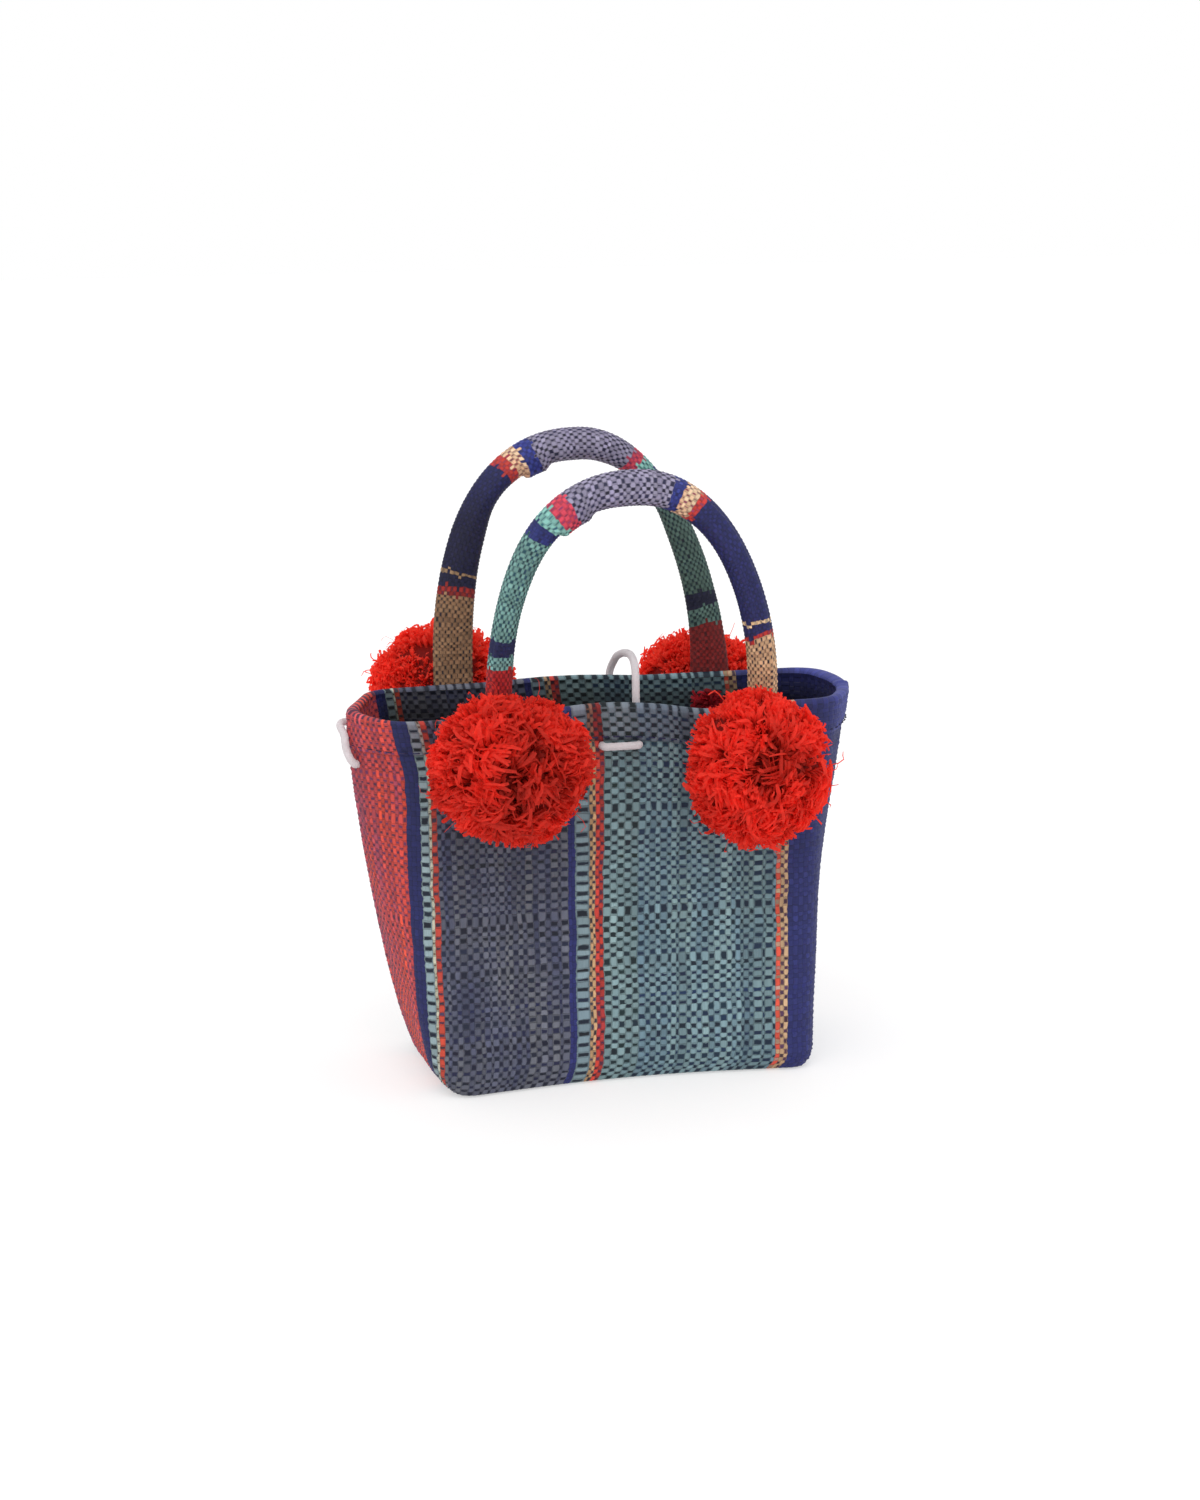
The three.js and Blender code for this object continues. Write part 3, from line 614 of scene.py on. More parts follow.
def fibre_material(name):
    """Grainy strips, thread or cord that let some light through."""
    dye, grain, detail, depth, roughness, specular, strength, distance, through = FIBRES[name]
    s = Shader(name)
    base = s.attribute("tint")["Color"] if dye is None else tuple(linear(dye))
    fibre = s.noise(s.add("ShaderNodeTexCoord")["Object"], (grain, grain, grain), detail)
    colour = s.dim(base, s.grain(fibre, depth))
    surface = s.surface(colour, roughness, specular, fibre, strength, distance)
    passing = s.add("ShaderNodeBsdfTranslucent", {"Color": colour})[0]
    return s.finish(s.add("ShaderNodeMixShader", {0: through, 1: surface, 2: passing})[0])


def floor_material():
    s = Shader("pale_floor")
    return s.finish(s.add("ShaderNodeBsdfPrincipled", {
        "Base Color": (FLOOR_GREY, FLOOR_GREY, FLOOR_GREY, 1.0),
        "Roughness": FLOOR_ROUGHNESS,
        "Specular IOR Level": FLOOR_SPECULAR,
        "Emission Color": (1.0, 1.0, 1.0, 1.0),
        "Emission Strength": FLOOR_GLOW,
    })[0])


def add_mesh(name, points, quads, material, corner_data=None, point_data=None):
    """Object from points in millimetres and four-cornered faces."""
    mesh = bpy.data.meshes.new(name)
    mesh.vertices.add(len(points))
    mesh.vertices.foreach_set("co", (np.asarray(points, dtype=float) * MM).ravel())
    mesh.loops.add(quads.size)
    mesh.loops.foreach_set("vertex_index", quads.ravel().astype(np.int32))
    mesh.polygons.add(len(quads))
    mesh.polygons.foreach_set("loop_start", np.arange(0, quads.size, 4, dtype=np.int32))
    mesh.polygons.foreach_set("use_smooth", np.full(len(quads), True))
    mesh.update(calc_edges=True)
    for domain, table in (("CORNER", corner_data or {}), ("POINT", point_data or {})):
        for key, values in table.items():
            kind, field = ("FLOAT_COLOR", "color") if values.shape[-1] == 4 else ("FLOAT_VECTOR", "vector")
            layer = mesh.attributes.new(key, kind, domain)
            layer.data.foreach_set(field, values.astype(np.float32).ravel())
    mesh.validate()
    mesh.materials.append(material)
    obj = bpy.data.objects.new(name, mesh)
    scene.collection.objects.link(obj)
    return obj


def place_piece(obj, slot, *nodes):
    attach(obj, "root")
    if nodes:
        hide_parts(*nodes)
    return obj


def quad_corners(low_left, low_right, high_right, high_left):
    return np.stack([low_left, low_right, high_right, high_left], axis=-1)


def sideways(low, high):
    """Corner values of faces that change from their left to their right."""
    return quad_corners(low, high, high, low)


def lengthways(low, high):
    """Corner values of faces that change from their lower to their upper edge."""
    return quad_corners(low, low, high, high)


def ring_quads(levels, columns):
    """Level and column of each face between closed rings of points, and its corners."""
    k, a = np.meshgrid(np.arange(levels - 1), np.arange(columns), indexing="ij")
    b = (a + 1) % columns
    return k, a, quad_corners(k * columns + a, k * columns + b, (k + 1) * columns + b, (k + 1) * columns + a)


def end_caps(levels, columns, first_flipped):
    """Faces that close a tube onto two points numbered after its rings."""
    half = np.arange(0, columns, 2)
    caps = []
    for end, start, flipped in ((0, 0, first_flipped), (1, (levels - 1) * columns, not first_flipped)):
        rim = [start + (half + step) % columns for step in (0, 1, 2)]
        hub = np.full(len(half), levels * columns + end)
        caps.append(np.stack([hub] + (rim[::-1] if flipped else rim), axis=-1))
    return np.vstack(caps)


def strip_quads(strips, along, across):
    """Faces of separate strips, each with its points along and across."""
    n, k, h = np.meshgrid(np.arange(strips), np.arange(along - 1), np.arange(across - 1), indexing="ij")
    first = (n * along + k) * across + h
    return quad_corners(first, first + 1, first + across + 1, first + across).reshape(-1, 4)


def opaque(tint):
    return np.hstack([tint, np.ones((len(tint), 1))])


def catmull(points, steps):
    """Centripetal curve through points, evenly spaced along its length."""
    points = np.asarray(points, dtype=float)
    padded = np.vstack([2 * points[0] - points[1], points, 2 * points[-1] - points[-2]])
    pieces = []
    for start in range(len(points) - 1):
        curve = padded[start:start + 4]
        at = np.concatenate([[0.0], np.cumsum(np.linalg.norm(np.diff(curve, axis=0), axis=1) ** 0.5)])
        t = np.linspace(at[1], at[2], CURVE_STEPS, endpoint=False)[:, None]
        for spans in (((0, 1), (1, 2), (2, 3)), ((0, 2), (1, 3)), ((1, 2),)):
            curve = [
                (at[j] - t) / (at[j] - at[i]) * first + (t - at[i]) / (at[j] - at[i]) * second
                for (i, j), first, second in zip(spans, curve, curve[1:])
            ]
        pieces.append(curve[0])
    line = np.vstack(pieces + [points[-1:]])
    travel = travelled(line)
    return read_line(np.linspace(0.0, travel[-1], steps), travel, line), travel[-1]


def tube(line, radius, sides, groove=0.0):
    """Points and faces of a closed tube along a line, with shallow twisted plies."""
    tangents = unit(np.gradient(line, axis=0))
    normals = np.zeros_like(line)
    normals[0] = unit(np.cross(tangents[0], ASKEW))
    for k in range(1, len(line)):
        normals[k] = unit(normals[k - 1] - tangents[k] * np.dot(normals[k - 1], tangents[k]))
    angle = 2 * np.pi * np.arange(sides) / sides
    twist = CORD_PLIES * (angle[None, :] - 2 * np.pi * travelled(line)[:, None] / CORD_LAY)
    size = (radius * (1.0 - groove * (1.0 - np.abs(np.cos(twist / 2)))))[..., None]
    outward = np.cos(angle)[None, :, None] * normals[:, None]
    outward = outward + np.sin(angle)[None, :, None] * np.cross(tangents, normals)[:, None]
    rings = line[:, None] + size * outward
    walls = ring_quads(len(line), sides)[2].reshape(-1, 4)
    points = np.vstack([rings.reshape(-1, 3), line[:1], line[-1:]])
    return points, np.vstack([walls, end_caps(len(line), sides, True)])


def closure_route():
    """From a tail inside, out and in again through the front, over the mouth and into the back."""
    off = CORD_DIAMETER / 2 + CLEARANCE
    left, right, z = STITCH_LEFT, STITCH_RIGHT, STITCH_Z
    middle = (left + right) / 2
    rim = RIM_HEIGHT + RIM_RISE["front"]
    back_y = wall_face(1, BACK_HOLE_X, BACK_HOLE_Z) - WALL / 2

    def front(x):
        return wall_face(-1, x, z) - off

    def inside(x, height):
        return wall_face(-1, x, height) + HEM_STEP + WALL + off

    def behind(height):
        return wall_face(1, BACK_HOLE_X, max(height, RIM_HEIGHT - HEM_HEIGHT / 2)) + off

    return [
        (left, inside(left, z) + 3.5, z - TAIL),
        (left, inside(left, z) + 2.0, z - 3.0),
        (left, inside(left, z) - 1.0, z),
        (left + 0.6, front(left) + 0.6, z),
        (left + 4.0, front(left + 4.0), z),
        (middle, front(middle), z),
        (right - 4.0, front(right - 4.0), z),
        (right - 0.6, front(right) + 0.6, z),
        (right, inside(right, z) - 1.0, z),
        (right + 0.2, inside(right, z) + 2.2, z + 3.0),
        (right + 0.4, inside(right, rim) + 1.6, rim - 6.0),
        (right + 0.2, inside(right, rim) + 1.4, rim + 4.0),
        (right + 0.2, inside(right, rim) + 2.0, rim + 11.0),
        (right + 0.5, inside(right, rim) + 5.8, rim + 15.6),
        (right + 1.5, -17.0, rim + 17.1),
        (right + 3.4, 2.0, rim + 14.6),
        (right + 4.5, 16.0, rim + 11.2),
        (right + 5.5, 28.0, rim + 6.9),
        (BACK_HOLE_X - 0.4, behind(rim) + 0.8, rim - 3.0),
        (BACK_HOLE_X, behind(rim) + 1.6, RIM_HEIGHT - 9.0),
        (BACK_HOLE_X, behind(BACK_HOLE_Z) + 0.4, BACK_HOLE_Z + 1.5),
        (BACK_HOLE_X, back_y, BACK_HOLE_Z),
        (BACK_HOLE_X, back_y - WALL - 3.0, BACK_HOLE_Z - 2.0),
        (BACK_HOLE_X, back_y - WALL - 4.0, BACK_HOLE_Z - TAIL),
    ]


def side_route():
    """Out through the back half of the left side, round the seam, down and in through the front half."""
    off = CORD_DIAMETER / 2 + CLEARANCE
    over_hem = off + HEM_STEP
    front, front_z = SIDE_FRONT, SIDE_FRONT_Z
    back, back_z = SIDE_BACK, SIDE_BACK_Z
    return [
        left_back(back + 0.06, back_z - TAIL, -WALL - off - 2.0),
        left_back(back + 0.03, back_z - 2.5, -WALL - off - 1.0),
        left_back(back, back_z, -WALL),
        left_back(back, back_z, over_hem - 0.4),
        left_back(back - 0.08, back_z - 0.5, over_hem + 1.0),
        left_front(1.0, back_z - 4.0, over_hem - 2.0),
        left_front(0.95, back_z - 10.0, over_hem - 1.3),
        left_front(front + 0.04, front_z + 1.8, off - 0.1),
        left_front(front, front_z, off - 1.2),
        left_front(front, front_z, -WALL),
        left_front(front - 0.03, front_z - 2.5, -WALL - off - 1.0),
        left_front(front - 0.06, front_z - TAIL, -WALL - off - 2.0),
    ]


def knot(name, centre, material):
    """Small stopper knot: a short cord wound round itself."""
    turn = np.linspace(0.0, 2 * np.pi, KNOT_STEPS)
    ring = KNOT_RING + KNOT_SWAY * np.cos(3 * turn)
    line = np.column_stack([ring * np.cos(2 * turn), ring * np.sin(2 * turn), KNOT_RISE * np.sin(3 * turn)])
    points, quads = tube(KNOT_RADIUS * line + np.asarray(centre), KNOT_RADIUS * KNOT_CORD, KNOT_SIDES)
    return place_piece(add_mesh(name, points, quads, material), "white_cord")


def make_cord(name, route, material):
    line, length = catmull(route, CORD_STEPS * len(route))
    points, quads = tube(line, CORD_DIAMETER / 2, CORD_SIDES, CORD_GROOVE)
    cord = place_piece(add_mesh(name + "_look", points, quads, material), "white_cord", name)
    knots = [knot(f"{name}_knot_{k}", end, material) for k, end in enumerate((route[0], route[-1]))]


def rim_rise(x, y, z):
    """How far the rim stands above its level in the middle, and dips by the front right pompom."""
    weight = smoothstep(z, RIM_RISE["starts_at"], RIM_HEIGHT)
    share = np.minimum(np.abs(x - RIM_RISE["centre"]) / RIM_RISE["reach"], 1.0)
    rise = np.where(y < 0, RIM_RISE["front"], RIM_RISE["back"]) * 0.5 * (1 + np.cos(np.pi * share))
    dip = RIM_DIP["depth"] * np.exp(-((x - RIM_DIP["centre"]) / RIM_DIP["reach"]) ** 2)
    return weight * (rise - np.where(y < 0, dip, 0.0))


def outline(z, shares):
    """Points round the body at one height; shares holds the places along each of the six panels."""
    def at(column):
        return float(section(z, column))

    corners = [
        (at("front_left"), at("front"), at("corner"), WALL_STEPS, at("bow")),
        (at("front_right"), at("front"), at("corner"), SIDE_STEPS, 0.0),
        (at("seam_right"), at("right_y"), at("right_seam"), SIDE_STEPS, 0.0),
        (at("back_right"), at("back"), at("corner"), WALL_STEPS, -at("bow")),
        (at("back_left"), at("back"), at("corner"), SIDE_STEPS, 0.0),
        (at("seam_left"), at("seam_y"), at("seam"), SIDE_STEPS, 0.0),
    ]
    places = [np.array(corner[:2]) for corner in corners]
    t = np.linspace(0.0, 1.0, CORNER_STEPS + 1)[:, None]
    rounded = []
    for i, corner in enumerate(corners):
        before = unit(places[i - 1] - places[i]) * corner[2] + places[i]
        after = unit(places[(i + 1) % 6] - places[i]) * corner[2] + places[i]
        rounded.append((1 - t) ** 2 * before + 2 * t * (1 - t) * places[i] + t ** 2 * after)
    line = []
    borders = []
    for i, (_, _, _, steps, bow) in enumerate(corners):
        borders.append(len(line) + CORNER_STEPS // 2)
        line.extend(rounded[i])
        share = (np.arange(steps) + 1) / (steps + 1)
        edge = rounded[i][-1] + share[:, None] * (rounded[(i + 1) % 6][0] - rounded[i][-1])
        edge[:, 1] += bow * np.sin(np.pi * share)
        line.extend(edge)
    line = np.roll(np.array(line), -borders[0], axis=0)
    line = np.vstack([line, line[:1]])
    borders = [border - borders[0] for border in borders] + [len(line) - 1]
    travel = travelled(line)
    lead = at("lead")
    starts = travel[borders] + (-lead, -at("right_lead"), 0.0, at("back_lead"), lead, 0.0, -lead)
    spots = [starts[i] + (starts[i + 1] - starts[i]) * shares[i][:-1] for i in range(6)]
    ring = read_line(np.concatenate(spots) % travel[-1], travel, line)
    tangent = np.roll(ring, -1, axis=0) - np.roll(ring, 1, axis=0)
    outward = unit(np.column_stack([tangent[:, 1], -tangent[:, 0]]))
    turn = math.radians(at("turn_deg"))
    spin = np.array([[math.cos(turn), math.sin(turn)], [-math.sin(turn), math.cos(turn)]])
    return ring @ spin, outward @ spin


def part_steps(edges, parts):
    """Borders of the strands with each strand cut into equal parts."""
    steps = edges[:-1, None] + np.diff(edges)[:, None] * (np.arange(parts) / parts)
    return np.concatenate([steps.ravel(), edges[-1:]])


def in_cell(index, parts):
    """Place in its cell of each border of the parts, from -1 up."""
    return (index % parts) * 2.0 / parts - 1.0


def uneven_edges(count, alternate, spread):
    """Borders of strands of uneven width, wide and narrow by turns, from 0 to 1."""
    wave = np.sin(np.linspace(0.0, TURN_WAVES * np.pi, count) + rng.uniform(0, PHASES))
    widths = 1.0 + alternate * (TURN_MEAN + TURN_SWAY * wave) * np.where(np.arange(count) % 2, -1.0, 1.0)
    widths = widths * rng.uniform(1.0 - spread, 1.0 + spread, count)
    return np.concatenate([[0.0], np.cumsum(widths) / widths.sum()])


def strand_dyes(first, second, weft, cover, count):
    """Two upright colours, crossing colour, cover and own leaning for each strand of a stripe."""
    spread = STRAND_SHADES if cover < PLAIN_COVER else PLAIN_SHADES
    shades = rng.uniform(1.0 - spread, 1.0 + spread, (count, 1))
    rows = [linear(first) * shades, linear(second) * shades, np.tile(linear(weft), (count, 1))]
    leaning = rng.uniform(-STRAND_LEANING, STRAND_LEANING, (count, 1))
    return np.hstack(rows + [np.full((count, 1), cover), leaning])


def weave_unevenness(strands, rows, spread):
    """How each row and each cell of a cloth differs from a plain weave."""
    hues = 1.0 + rng.normal(0.0, 1.0, (rows, 3)) * ROW_HUES
    return {
        "row_shade": np.clip(rng.uniform(*ROW_SHADES, (rows, 1)) * hues, *ROW_LIMITS),
        "cell_shade": rng.uniform(*CELL_SHADES, (strands, rows)),
        "cell_cover": rng.uniform(1.0 - spread, 1.0 + spread, (strands, rows)),
        "tint": np.ones((strands, rows, 3)),
    }


def dye_cells(cloth, strand, row, drift, shade):
    """Upright colour with cover, and crossing colour, for cells whose dye drifts along the strands; shade
    dims them by place and carries the painted shade and light.
    """
    dyes = cloth["dyes"][strand]
    cover = dyes[..., COVER]
    plain = cover >= PLAIN_COVER
    share = np.clip(0.5 + drift + dyes[..., LEANING], 0.0, 1.0)[..., None]
    tint = shade[..., None] * cloth["tint"][strand, row]
    upright = dyes[..., 0:3] * share + dyes[..., 3:6] * (1.0 - share)
    upright = upright * tint * cloth["cell_shade"][strand, row][..., None]
    uneven_rows = np.where(plain, PLAIN_ROWS, 1.0)[..., None] * (cloth["row_shade"][row] - 1.0)
    crossing = dyes[..., 6:9] * (1.0 + uneven_rows) * tint
    crossing = np.concatenate([crossing, np.ones(crossing.shape[:-1] + (1,))], axis=-1)
    cover = np.where(plain, 1.0, np.clip(cover * cloth["cell_cover"][strand, row], *COVER_LIMITS))
    return np.concatenate([upright, cover[..., None]], axis=-1), crossing


def corner_tables(cloth, strand, row, over, across, along, u, v, drift, shade):
    """What the weave needs at each corner of each face: place in its cell, place on the cloth and dyes."""
    flags = np.repeat(over[..., None].astype(float), 4, axis=-1)
    seeds = np.repeat((strand * STRAND_SEED + row * ROW_SEED)[..., None], 4, axis=-1)
    upright, crossing = dye_cells(cloth, strand, row, drift, shade)
    return {
        "cell": np.stack([across, along, flags], axis=-1).reshape(-1, 3),
        "cloth": np.stack([u, v, seeds], axis=-1).reshape(-1, 3),
        "warp_tint": np.repeat(upright[..., None, :], 4, axis=-2).reshape(-1, 4),
        "weft_tint": np.repeat(crossing[..., None, :], 4, axis=-2).reshape(-1, 4),
    }


def soft_swell(points, name):
    """Uneven swelling of a soft surface, or drift of a dye."""
    size, turns, waves, seed = SWELLS[name]
    local = np.random.default_rng(seed)
    swell = np.zeros(points.shape[:-1])
    for _ in range(waves):
        direction = unit(local.normal(size=3)) * local.uniform(*turns)
        swell += np.sin(points @ direction + local.uniform(0, SWELL_PHASES))
    return size * swell / math.sqrt(waves)


def grid_normals(points):
    """Normals of rings of points."""
    across = np.roll(points, -1, axis=1) - np.roll(points, 1, axis=1)
    return unit(np.cross(across, np.gradient(points, axis=0)))


def weave_relief(across, along):
    """Height of a rounded strip over one cell, 1 in the middle and lowest at the cell's corners."""
    return (1 - across ** 2) * (1 - along ** 2) - CORNER_DIP * across ** 2 * along ** 2


def front_strands():
    """Strand borders across the front as shares of its width, and the dyes of each strand."""
    edges = [np.zeros(1)]
    dyes = []
    start = 0.0
    for _, width, count, first, second, weft, cover in STRIPES:
        alternate, spread = WIDE_UNEVEN if count > WIDE_STRIPE else LINE_UNEVEN
        edges.append(start + width * uneven_edges(count, alternate, spread)[1:])
        dyes.append(strand_dyes(first, second, weft, cover, count))
        start += width
    return np.concatenate(edges) / start, np.vstack(dyes)


def make_cloth():
    """Strand borders of the six panels round the body, and the dyes of all strands and rows."""
    edges, front_dyes = front_strands()
    sides = [uneven_edges(SIDE_STRANDS + extra, SIDE_SPREAD, SIDE_SPREAD) for extra in SIDE_EXTRA]
    right = strand_dyes(*RIGHT_SIDE, 2 * SIDE_STRANDS)
    left = strand_dyes(*LEFT_SIDE, 2 * SIDE_STRANDS)
    from_seam = np.abs(np.arange(2 * SIDE_STRANDS) - SIDE_STRANDS + 0.5)
    left[:, LEANING] += LEFT_LEANING - SEAM_LEANING * np.exp(-from_seam / SEAM_STRANDS)
    dyes = np.vstack([front_dyes, right, front_dyes[::-1], left])
    cloth = {
        "edges": [edges, sides[0], sides[1], 1.0 - edges[::-1], sides[2], sides[3]],
        "dyes": dyes,
        "front": len(front_dyes),
        **weave_unevenness(len(dyes), ROWS, COVER_SPREAD),
    }
    stripe_of = np.repeat([stripe[0] for stripe in STRIPES], [stripe[2] for stripe in STRIPES])
    for strand, stripe in enumerate(stripe_of):
        if front_dyes[strand, COVER] < PLAIN_COVER:
            cloth["tint"][strand, -HEM_ROWS:] = HEM_LINE_TINT if stripe in HEM_LINES else HEM_TINT
    cloth["tint"][-2 * SIDE_STRANDS:, -HEM_ROWS:] = LEFT_HEM_TINT
    return cloth


def hem_inset(z):
    """Inset of the turned hem, which stands out, rounded towards its foot and its rolled rim."""
    rise = z - HEM_FOOT
    puff = HEM_PUFF * np.sin(np.pi * rise / HEM_HEIGHT)
    puff = puff + ROLL_PUFF * smoothstep(rise, HEM_HEIGHT - ROLL_FROM, HEM_HEIGHT - ROLL_TO)
    return -HEM_STEP * (0.5 + 0.5 * smoothstep(rise, 0.0, HEM_FOOT_RISE)) - puff


def body_levels():
    """Levels of the outside and of the inside: height, inset, where in its cell the face below
    ends and the face above starts, and the row of the face below."""
    wall_rows = ROWS - HEM_ROWS
    heights = np.exp(rng.normal(0.0, ROW_SPREAD, wall_rows))
    heights = heights * np.where(rng.random(wall_rows) < TALL_ROW_SHARE, TALL_ROW, 1.0)
    heights[:LOW_ROWS] *= LOW_ROW
    shares = np.concatenate([[0.0], np.cumsum(heights) / heights.sum()])
    hem = HEM_FOOT + np.linspace(0.0, 1.0, HEM_ROWS + 1)[1:] * (HEM_HEIGHT - RIM_BEAD)
    rows_z = np.concatenate([BASE_LIFT + (HEM_FOOT - BASE_LIFT) * shares, hem])
    outside = [(rows_z[0], 0.0, -1.0, -1.0, 0)]
    for k, (low, high) in enumerate(zip(rows_z, rows_z[1:])):
        middle = 0.5 * (low + high)
        in_hem = k >= wall_rows
        if k == wall_rows:
            outside.append((low, hem_inset(low), 1.0, -1.0, k - 1))
        outside.append((middle, hem_inset(middle) if in_hem else 0.0, 0.0, 0.0, k))
        outside.append((high, hem_inset(high) if in_hem else 0.0, 1.0, -1.0, k))
    rim_out, rim_in = hem_inset(rows_z[ROWS]), WALL + RIM_INSET
    for angle in np.radians((30.0, 60.0, 90.0, 120.0, 150.0, 180.0)):
        inset = 0.5 * (rim_out + rim_in) - 0.5 * (rim_in - rim_out) * math.cos(angle)
        outside.append((RIM_HEIGHT - RIM_BEAD + RIM_BEAD * math.sin(angle), inset, 0.0, 0.0, ROWS - 1))
    inside = [(rows_z[ROWS], rim_in, 1.0, 1.0, ROWS - 1)]
    inside.extend((rows_z[k], WALL, -1.0, 1.0, k) for k in range(ROWS - 1, 1, -1))
    inside.append((INNER_EDGE, WALL, -1.0, 1.0, 0))
    return outside, inside


def body_grid(levels, shares):
    """Points of the body's levels, softly uneven, and their normals."""
    rings = []
    for z, inset, _, _, _ in levels:
        ring, outward = outline(z, shares)
        roll = RIGHT_ROLL * smoothstep(ring[:, 0], *RIGHT_ROLL_REACH)
        roll = roll * smoothstep(z, HEM_FOOT - RIGHT_ROLL_RAMP, HEM_FOOT + RIGHT_ROLL_RAMP)
        depth = inset + roll * np.clip(inset / WALL, 0.0, 1.0)
        ring = ring - outward * depth[:, None]
        rings.append(np.column_stack([ring, z + rim_rise(ring[:, 0], ring[:, 1], z)]))
    points = np.array(rings)
    normals = grid_normals(points)
    above_base = smoothstep(points[..., 2], *SWELL_RISE)
    below_rim = 1.0 - smoothstep(points[..., 2], RIM_HEIGHT - SWELL_END, RIM_HEIGHT)
    points = points + normals * (soft_swell(points, "wall_out") * above_base)[..., None]
    points = points + unit(np.cross(normals, UP)) * soft_swell(points, "wall_sideways")[..., None]
    points[..., 2] += soft_swell(points, "wall_up") * above_base * below_rim
    return points, normals


def raise_weave(points, normals, z, ends, seams, parts):
    """Outside of the body with shifted crossings, the relief of the strips and ridges at the seams."""
    count, columns = points.shape[:2]
    points = points + unit(np.cross(normals, UP)) * rng.normal(0.0, NODE_SHIFT, (count, columns, 1))
    loose = (z > LOOSE_FROM) & (z < LOOSE_TO)
    points[..., 2] += rng.normal(0.0, NODE_SHIFT, (count, columns)) * loose[:, None]
    below_bead = z < RIM_HEIGHT - RIM_BEAD + HAIR
    relief = weave_relief(in_cell(np.arange(columns), parts)[None, :], ends[:, None]) * below_bead[:, None]
    relief = relief * rng.uniform(*WEAVE_HEIGHTS, relief.shape) * WEAVE_HEIGHT
    for seam in seams:
        away = np.abs(np.arange(columns) - seam)
        relief = relief + SEAM_RIDGE * np.exp(-(away / SEAM_REACH) ** 2) * (z > SEAM_FROM)[:, None]
    return points + normals * relief[..., None]


def wall_dye_and_painted_shades(x, z, outside):
    """Shade of the cells of the walls: darker up the outside, partly dye and partly painted shade; painted
    light on the rim bead and the right hem; darkest deep inside with painted shade, and painted light inside
    the left side.
    """
    below_rim = RIM_HEIGHT - z
    if outside:
        shade = np.where(z > HEM_FOOT + HAIR, HEM_SHADE, 1.0 - WALL_DYE_AND_PAINTED_SHADE * smoothstep(z, *WALL_SHADE_RISE))
        shade = np.where(below_rim < RIM_BEAD - HAIR, RIM_PAINTED_HIGHLIGHT, shade)
        return shade * (1.0 + RIGHT_HEM_PAINTED_LIGHT * (z > HEM_FOOT) * smoothstep(x, *RIGHT_HEM_REACH))
    shade = LIP_PAINTED_SHADE + (INSIDE_PAINTED_SHADE - LIP_PAINTED_SHADE) * smoothstep(below_rim, LIP_DEPTH, INSIDE_FADE)
    return shade + (LEFT_INSIDE_PAINTED_LIGHT - shade) * smoothstep(-x, *LEFT_INSIDE_REACH)


def base_patch(edge, wide, deep):
    """Points between the four sides of a closed ring that starts at its front left corner."""
    front = edge[:wide + 1]
    right = edge[wide:wide + deep + 1]
    back = edge[wide + deep:2 * wide + deep + 1][::-1]
    left = np.vstack([edge[2 * wide + deep:], edge[:1]])[::-1]
    s = np.linspace(0.0, 1.0, wide + 1)[:, None, None]
    t = np.linspace(0.0, 1.0, deep + 1)[None, :, None]
    patch = (1 - t) * front[:, None] + t * back[:, None] + (1 - s) * left[None] + s * right[None]
    patch = patch - (1 - s) * (1 - t) * front[0] - s * (1 - t) * front[-1]
    return patch - (1 - s) * t * back[0] - s * t * back[-1]


def body_base(edge, ring, first, parts, outside, cloth):
    """Points within the base, its faces and their weave. The points of its edge are numbered
    from ring, the points within it from first."""
    wide, deep = parts * cloth["front"], parts * 2 * SIDE_STRANDS
    patch = base_patch(edge, wide, deep)
    i, j = np.meshgrid(np.arange(wide + 1), np.arange(deep + 1), indexing="ij")
    if outside:
        patch[..., 2] = BASE_LIFT - WEAVE_HEIGHT * weave_relief(in_cell(i, parts), in_cell(j, parts))
    else:
        patch[..., 2] = INNER_BASE
    number = np.zeros(i.shape, dtype=int)
    number[1:-1, 1:-1] = first + np.arange((wide - 1) * (deep - 1)).reshape(wide - 1, deep - 1)
    number[:, 0] = ring + np.arange(wide + 1)
    number[-1, :] = ring + wide + np.arange(deep + 1)
    number[:, -1] = ring + wide + deep + np.arange(wide, -1, -1)
    number[0, 1:] = ring + (2 * wide + 2 * deep - np.arange(1, deep + 1))
    quads = quad_corners(number[:-1, :-1], number[:-1, 1:], number[1:, 1:], number[1:, :-1])
    p, q = i[:-1, :-1], j[:-1, :-1]
    strand, row = p // parts, q // parts
    start, near = in_cell(p, parts), in_cell(q, parts)
    turned = slice(None) if outside else slice(None, None, -1)
    # Cells of the base: the outside a little darker, the inside in the painted shade of the deep inside
    plain = np.zeros(p.shape)
    tables = corner_tables(
        cloth, strand, row, ((strand + row) % 2 == 1) == outside,
        lengthways(start, start + 2.0 / parts)[..., turned], sideways(near, near + 2.0 / parts)[..., turned],
        lengthways(p, p + 1)[..., turned] * BASE_CELL[0] * MM / parts,
        sideways(q, q + 1)[..., turned] * BASE_CELL[1] * MM / parts,
        plain, plain + (BASE_SHADE if outside else INSIDE_PAINTED_SHADE),
    )
    return patch[1:-1, 1:-1].reshape(-1, 3), quads[..., turned].reshape(-1, 4), tables


